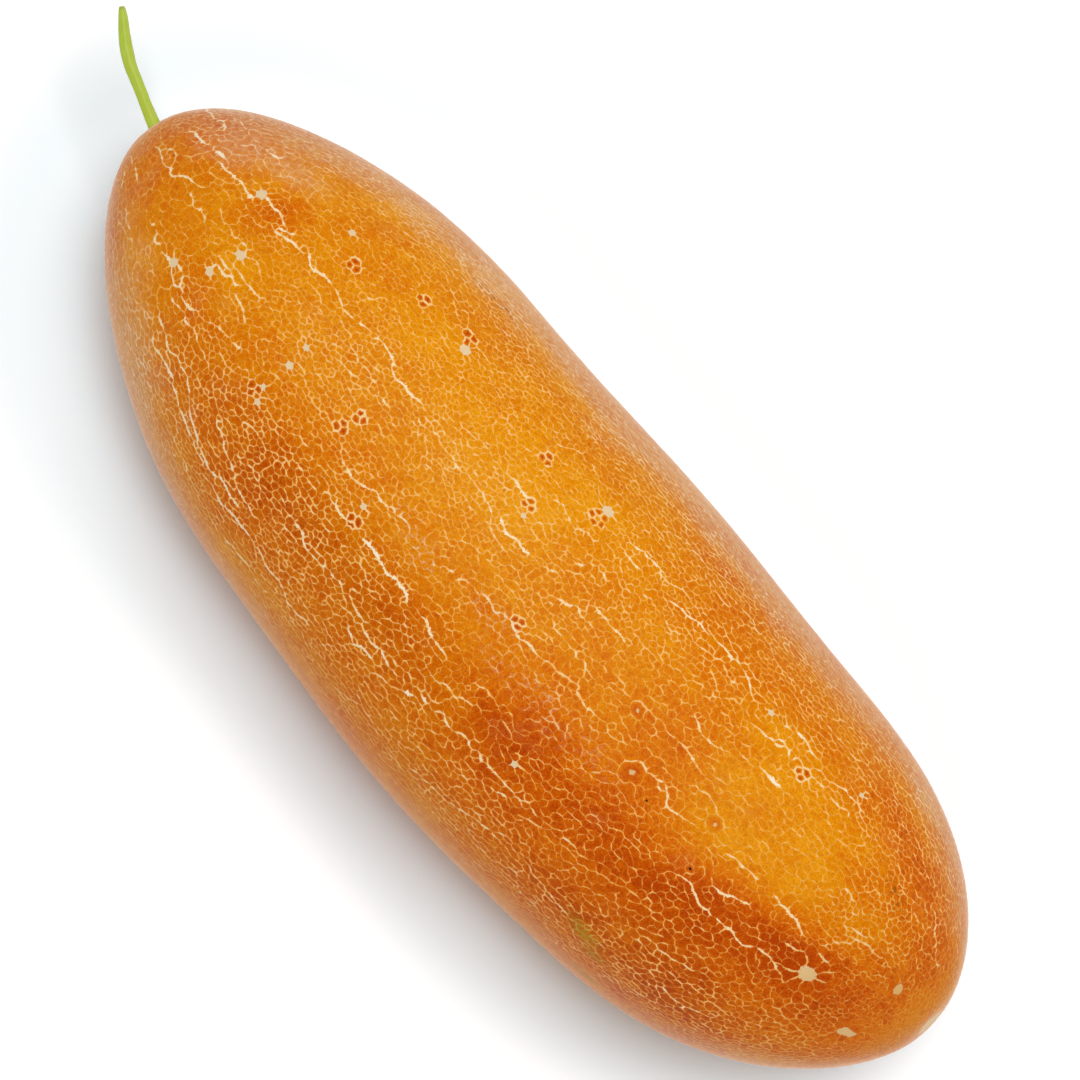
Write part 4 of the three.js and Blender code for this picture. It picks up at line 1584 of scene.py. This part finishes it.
# %% Skin between the lines
STREAKS, BLOTS, GRAIN = (5 * MM, 0.3), (2.6 * MM, 0.28), (0.42 * MM, 0.85)  # size, and share in the tone
STREAK_STRETCH = 0.3  # streaks run along the fruit
PALER_BESIDE = 0.16
SHADE_SIZE, SHADE = 0.36 * MM, (0.84, 1.16)  # the finest mottling is in how bright the skin is
SHEEN_PAINT_SIZE, SHEEN_PAINT_RANGE = 1.1 * MM, (0.13, 0.36)  # how strong the painted sheen is, from place to place
# How much the painted shade darkens the skin, and how strong the green stain is
PAINTED_SHADE_SHARE, GREEN_SHARE = 0.2, 0.3
FLECK_SIZE = 0.8 * MM  # brown marks are broken up into flecks


def skin_tone(tree, place, near):
    """How deep the orange is: the mesh's large patches, three sizes of mottling, and paler beside a line."""
    drawn_out = {"Vector": place, "Scale": (STREAK_STRETCH, 1, 1)}
    stretched = add_node(tree, "ShaderNodeMapping", drawn_out).outputs[0]
    streaks = noise(tree, stretched, STREAKS[0])
    blots = noise(tree, place, BLOTS[0])
    grain = noise(tree, place, GRAIN[0], Roughness=0.6)
    tone = calculate(tree, "MULTIPLY_ADD", near, -PALER_BESIDE, attribute(tree, "deep"))
    for mottling, (_, reach) in ((streaks, STREAKS), (blots, BLOTS), (grain, GRAIN)):
        tone = calculate(tree, "ADD", tone, calculate(tree, "MULTIPLY_ADD", mottling, reach, -reach / 2))
    return tone


def skin_colour(tree, place, near, painted_sheen):
    """Mottled orange under the painted sheen, with the painted shade on the flank turned from the lamp, the
    brown marks and the green stain.
    """
    colour = colour_ramp(tree, skin_tone(tree, place, near), SKIN_COLOURS)
    shade = spread(tree, noise(tree, place, SHADE_SIZE, Roughness=0.7), 0.3, 0.7, *SHADE, smooth=False)
    colour = blend(tree, 1.0, colour, shade, "MULTIPLY")
    # Painted sheen: a pale tone near the outline that stands in for reflected light
    sheen_paint_amount = spread(tree, noise(tree, place, SHEEN_PAINT_SIZE), 0.35, 0.65, *SHEEN_PAINT_RANGE)
    colour = blend(tree, calculate(tree, "MULTIPLY", painted_sheen, sheen_paint_amount), colour, PAINTED_SHEEN_COLOUR)
    # Painted shade: darker on the flank turned away from the lamp
    painted_shade = calculate(tree, "MULTIPLY", attribute(tree, "painted_shade"), PAINTED_SHADE_SHARE)
    colour = blend(tree, painted_shade, colour, PAINTED_SHADE_COLOUR)
    flecks = spread(tree, noise(tree, place, FLECK_SIZE), 0.5, 0.58)
    brown = calculate(tree, "MULTIPLY", attribute(tree, "brown"), flecks)
    colour = blend(tree, brown, colour, BROWN_COLOUR)
    green = calculate(tree, "MULTIPLY", attribute(tree, "green"), GREEN_SHARE)
    return blend(tree, green, colour, GREEN_COLOUR)


# %% Cork
CORK_TINTS = (
    # what tints it, by how much, colour
    ("faded", 0.7, FADED_COLOUR),
    ("scuff", 0.45, LILAC_COLOUR),
    ("green", 0.8, GREEN_COLOUR),
)
# How much the painted sheen pales the cork
PAINTED_SHEEN_ON_CORK = 0.5


def cork_colour(tree, scar, painted_sheen):
    """The colour of cork by its line's width, paled under the painted sheen, with what tints it in some
    places.
    """
    colour = colour_ramp(tree, attribute(tree, "line_width"), CORK_COLOURS)
    colour = blend(tree, scar, colour, SCAR_COLOUR)
    colour = blend(tree, calculate(tree, "MULTIPLY", painted_sheen, PAINTED_SHEEN_ON_CORK), colour, CORK_IN_PAINTED_SHEEN)
    for name, share, tint in CORK_TINTS:
        colour = blend(tree, calculate(tree, "MULTIPLY", attribute(tree, name), share), colour, tint)
    return colour


# %% Skin material
CLOUD_SIZE, CLOUD_SHARE = 10 * MM, 1.1  # clouds break up the edges of the painted sheen
PAINTED_SHEEN_EDGE = (0.62, 1.36)  # painted sheen and clouds together: where it starts, and where it is full
FLAKE_SIZE, FLAKES = 1.1 * MM, 0.3  # the lilac scuffs lie on the skin as thin flakes
SHEEN, SHEEN_ROUGHNESS, SHEEN_COLOUR = 0.64, 0.27, "FFF0E2"  # fine bloom that shows at a low angle


def make_skin_material():
    material, tree, shader, place = start_material("netted_skin")
    amount, proud, near, scar = line_amounts(tree, place)
    # The painted sheen, with its edges broken up: a pale tone near the outline that stands in for reflected
    # light
    cloud = noise(tree, place, CLOUD_SIZE, detail=4.0, Roughness=0.6)
    clouded = calculate(tree, "MULTIPLY_ADD", cloud, CLOUD_SHARE, attribute(tree, "painted_sheen"))
    painted_sheen = spread(tree, clouded, *PAINTED_SHEEN_EDGE)
    colour = blend(tree, amount, skin_colour(tree, place, near, painted_sheen), cork_colour(tree, scar, painted_sheen))
    flakes = spread(tree, noise(tree, place, FLAKE_SIZE, detail=3.0), 0.52, 0.68, 0.0, FLAKES)
    colour = blend(tree, calculate(tree, "MULTIPLY", attribute(tree, "scuff"), flakes), colour, LILAC_COLOUR)
    for name, low, high, tint in (("straw", 0.3, 0.6, STRAW_COLOUR), ("speck", 0.62, 0.74, SPECK_COLOUR)):
        colour = blend(tree, spread(tree, attribute(tree, name), low, high), colour, tint)
    tree.links.new(colour, shader.inputs["Base Color"])

    rough = spread(tree, proud, 0.0, 1.0, SKIN_ROUGHNESS, CORK_ROUGHNESS, smooth=False)
    tree.links.new(rough, shader.inputs["Roughness"])
    shader.inputs["Specular IOR Level"].default_value = 0.04
    shader.inputs["Sheen Weight"].default_value = SHEEN
    shader.inputs["Sheen Roughness"].default_value = SHEEN_ROUGHNESS
    shader.inputs["Sheen Tint"].default_value = paint(SHEEN_COLOUR)

    pores = noise(tree, place, 0.5 * MM)
    height = calculate(tree, "MULTIPLY_ADD", pores, 0.35, proud)
    bump = add_node(tree, "ShaderNodeBump", {"Height": height, "Distance": 0.03 * MM, "Strength": 0.8})
    tree.links.new(bump.outputs[0], shader.inputs["Normal"])
    return material


skin_material = make_skin_material()
print("netted_skin has", len(skin_material.node_tree.nodes), "nodes")

# %% [markdown]
# ## The relief of the net
#
# The net isn't only painted on. Each cell of skin is slightly puffed up, the cork stands proud where the
# line is wide, and the whole fruit is a little uneven. A small geometry tree moves the points along their
# normals by what the attributes say, and keeps the flat underside flat.

# %% Relief tree
RELIEF_INPUTS = (
    ("Cell Crown", "NodeSocketFloat", 0.07 * MM),
    ("Ridge Rise", "NodeSocketFloat", 0.12 * MM),  # for a line one millimetre wide
    ("Unevenness", "NodeSocketFloat", 0.25 * MM),
    ("Unevenness Size", "NodeSocketFloat", 13 * MM),
    ("Seed", "NodeSocketInt", 7),
    ("Lowest Point", "NodeSocketFloat", SHELL_GAP),
    ("Material", "NodeSocketMaterial", None),
)


def make_relief_tree():
    tree, given = start_geometry_tree("net_relief", RELIEF_INPUTS)
    place = tree.nodes.new("GeometryNodeInputPosition").outputs[0]
    carried = {}
    for name in ("crown", "ridge"):
        named = add_node(tree, "GeometryNodeInputNamedAttribute", {"Name": name}, data_type="FLOAT")
        carried[name] = named.outputs["Attribute"]
    scale = calculate(tree, "DIVIDE", 1.0, given["Unevenness Size"])
    waves = seeded_noise(tree, place, given["Seed"], scale, 1.5)
    rise = calculate(tree, "MULTIPLY", calculate(tree, "SUBTRACT", waves, 0.5), given["Unevenness"])
    rise = calculate(tree, "MULTIPLY_ADD", carried["crown"], given["Cell Crown"], rise)
    rise = calculate(tree, "MULTIPLY_ADD", carried["ridge"], given["Ridge Rise"], rise)
    raised = push_out(tree, given["Geometry"], rise)
    parts = add_node(tree, "ShaderNodeSeparateXYZ", {0: place}).outputs
    upper = calculate(tree, "MAXIMUM", parts["Z"], given["Lowest Point"])
    kept = add_node(tree, "ShaderNodeCombineXYZ", {"X": parts["X"], "Y": parts["Y"], "Z": upper}).outputs[0]
    settled = add_node(tree, "GeometryNodeSetPosition", {"Geometry": raised, "Position": kept}).outputs[0]
    end_geometry_tree(tree, settled, given["Material"])
    return tree


relief_values = {name: start for name, _, start in RELIEF_INPUTS}
relief_values["Material"] = skin_material
netted_fruit.data = run_tree(netted_fruit, make_relief_tree(), relief_values)
fruit_mesh = netted_fruit.data
print("relief done:", len(fruit_mesh.polygons), "triangles,", len(fruit_mesh.attributes), "attributes")

# %% [markdown]
# ## The stalk
#
# The stalk is a thin green rod with five low ribs. It is widest at its foot, a little thicker again past
# the middle, and thin at the end where it was pinched off. It follows the same guide points as in the CAD
# model. The tree sweeps a ribbed ring along the guide and sizes it with a curve of radius against length.

# %% Stalk guide
STEM_LENGTH = 23 * MM
STEM_GUIDE = (
    # out along the fruit's axis, sideways and up, as shares of the stalk's length
    (-3 / 23, -0.7 / 23, 0),
    (0, 0, 0),
    (0.28, 0.095, 0.01),
    (0.56, 0.2, 0.03),
    (0.915, 0.44, 0.08),
)
STEM_RADII = (
    # share of the stalk's whole length from its foot, radius in mm
    (0.00, 1.35),
    (0.12, 1.28),
    (0.25, 1.18),
    (0.50, 1.2),
    (0.68, 1.26),
    (0.84, 1.07),
    (0.96, 0.76),
    (1.00, 0.5),
)


def make_stem_guide():
    curve = bpy.data.curves.new("stem_guide", "CURVE")
    curve.dimensions = "3D"
    spline = curve.splines.new("BEZIER")
    spline.bezier_points.add(len(STEM_GUIDE) - 1)
    for point, (out, sideways, up) in zip(spline.bezier_points, STEM_GUIDE):
        point.co = stem_root + np.array([-out, sideways, up]) * STEM_LENGTH
        point.handle_left_type = point.handle_right_type = "AUTO"
    return curve


# %% [markdown]
# The stalk's finish is yellow-green with fine threads running along it and a duller tip. Its layout says
# how far along and how far round each point is, so that the threads follow its bends.

# %% Stalk material
STALK_COLOURS = ((0.0, "A0B430"), (0.45, "B3C83C"), (0.7, "BCD04A"), (1.0, "CAD66A"))
STALK_TIP_COLOUR = "A9AC48"


def make_stem_material():
    material, tree, shader, place = start_material("green_stalk")
    layout = add_node(tree, "ShaderNodeUVMap", uv_map="OFBake").outputs[0]
    threads_place = add_node(tree, "ShaderNodeMapping", {"Vector": layout, "Scale": (1.5, 26, 1)}).outputs[0]
    threads = noise(tree, threads_place, 1.0)
    blots = noise(tree, place, 2.2 * MM)
    tone = calculate(tree, "MULTIPLY_ADD", blots, 0.55, calculate(tree, "MULTIPLY_ADD", threads, 0.35, 0.05))
    colour = colour_ramp(tree, tone, STALK_COLOURS)
    parts = add_node(tree, "ShaderNodeSeparateXYZ", {0: layout}).outputs
    near_tip = spread(tree, parts["X"], 0.96, 1.0)
    colour = blend(tree, near_tip, colour, STALK_TIP_COLOUR)
    tree.links.new(colour, shader.inputs["Base Color"])
    shader.inputs["Roughness"].default_value = 0.55
    shader.inputs["Subsurface Weight"].default_value = 0.1
    shader.inputs["Subsurface Scale"].default_value = 1.0 * MM
    bump = add_node(tree, "ShaderNodeBump", {"Height": threads, "Distance": 0.04 * MM, "Strength": 0.5})
    tree.links.new(bump.outputs[0], shader.inputs["Normal"])
    return material


stem_material = make_stem_material()
print("green_stalk has", len(stem_material.node_tree.nodes), "nodes")

# %% Stalk tree
RING_SIDES = 30
BUMP_SIZE = 2.4 * MM  # how wide the stalk's uneven places are
STALK_INPUTS = (
    ("Rings", "NodeSocketInt", 70),
    ("Ring Sides", "NodeSocketInt", RING_SIDES),
    ("Ribs", "NodeSocketInt", 5),
    ("Rib Depth", "NodeSocketFloat", 0.05),
    ("Roughness", "NodeSocketFloat", 0.16 * MM),
    ("Seed", "NodeSocketInt", 3),
    ("Material", "NodeSocketMaterial", None),
)


def stalk_radius(tree, share):
    """The curve of radius against length, in metres."""
    widest = max(radius for _, radius in STEM_RADII)
    node = add_node(tree, "ShaderNodeFloatCurve", {"Value": share})
    points = node.mapping.curves[0].points
    while len(points) < len(STEM_RADII):
        points.new(0.5, 0.5)
    for point, (at, radius) in zip(points, STEM_RADII):
        point.location = (at, radius / widest)
    node.mapping.update()
    return calculate(tree, "MULTIPLY", node.outputs[0], widest * MM)


def make_stalk_tree():
    tree, given = start_geometry_tree("ribbed_stalk", STALK_INPUTS)
    cut = {"Curve": given["Geometry"], "Count": given["Rings"]}
    guide = add_node(tree, "GeometryNodeResampleCurve", cut, mode="COUNT").outputs[0]
    along = tree.nodes.new("GeometryNodeSplineParameter").outputs["Factor"]
    guide = keep_value(tree, guide, "along", along)
    circle = {"Resolution": given["Ring Sides"], "Radius": 1.0}
    ring = add_node(tree, "GeometryNodeCurvePrimitiveCircle", circle, mode="RADIUS").outputs["Curve"]
    round_ring = tree.nodes.new("GeometryNodeSplineParameter").outputs["Factor"]
    angle = calculate(tree, "MULTIPLY", calculate(tree, "MULTIPLY", round_ring, given["Ribs"]), 2 * math.pi)
    rib = calculate(tree, "MULTIPLY_ADD", calculate(tree, "COSINE", angle), given["Rib Depth"], 1.0)
    place = tree.nodes.new("GeometryNodeInputPosition").outputs[0]
    ribbed = add_node(tree, "ShaderNodeVectorMath", {0: place, "Scale": rib}, operation="SCALE").outputs[0]
    ring = add_node(tree, "GeometryNodeSetPosition", {"Geometry": ring, "Position": ribbed}).outputs[0]
    ring = keep_value(tree, ring, "round", round_ring)
    sweep = {"Curve": guide, "Profile Curve": ring, "Scale": stalk_radius(tree, along), "Fill Caps": True}
    swept = add_node(tree, "GeometryNodeCurveToMesh", sweep).outputs[0]
    waves = seeded_noise(tree, place, given["Seed"], 1 / BUMP_SIZE, 2.0)
    push = calculate(tree, "MULTIPLY", calculate(tree, "SUBTRACT", waves, 0.5), given["Roughness"])
    end_geometry_tree(tree, push_out(tree, swept, push), given["Material"])
    return tree


stem_guide = bpy.data.objects.new("stem_guide", make_stem_guide())
bpy.context.collection.objects.link(stem_guide)
stalk_values = {name: start for name, _, start in STALK_INPUTS}
stalk_values["Material"] = stem_material
stalk_mesh = run_tree(stem_guide, make_stalk_tree(), stalk_values)
bpy.data.objects.remove(stem_guide)
ribbed_stalk = bpy.data.objects.new("ribbed_stalk", stalk_mesh)
bpy.context.collection.objects.link(ribbed_stalk)
print("stalk:", len(stalk_mesh.polygons), "faces; attributes", [a.name for a in stalk_mesh.attributes])


# %% Stalk layout
def lay_out_stalk(mesh):
    """Gives the stalk its layout: along in u, round in v, with no face across the join."""
    values = {}
    for name in ("along", "round"):
        found = np.zeros(len(mesh.vertices), np.float32)
        mesh.attributes[name].data.foreach_get("value", found)
        values[name] = found
    layout = np.zeros((len(mesh.loops), 2), np.float32)
    for face in mesh.polygons:
        corners = list(face.vertices)
        round_values = values["round"][corners]
        if np.ptp(round_values) > 0.5:
            round_values = np.where(round_values < 0.5, round_values + 1, round_values)
        layout[list(face.loop_indices), 0] = values["along"][corners]
        layout[list(face.loop_indices), 1] = round_values / (1 + 1 / RING_SIDES)
    mesh.uv_layers.new(name="OFBake").data.foreach_set("uv", layout.ravel())


lay_out_stalk(stalk_mesh)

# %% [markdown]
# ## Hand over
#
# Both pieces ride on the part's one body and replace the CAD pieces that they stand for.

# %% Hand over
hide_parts("fruit")
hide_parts("stem")
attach(netted_fruit, "root")
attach(ribbed_stalk, "root")
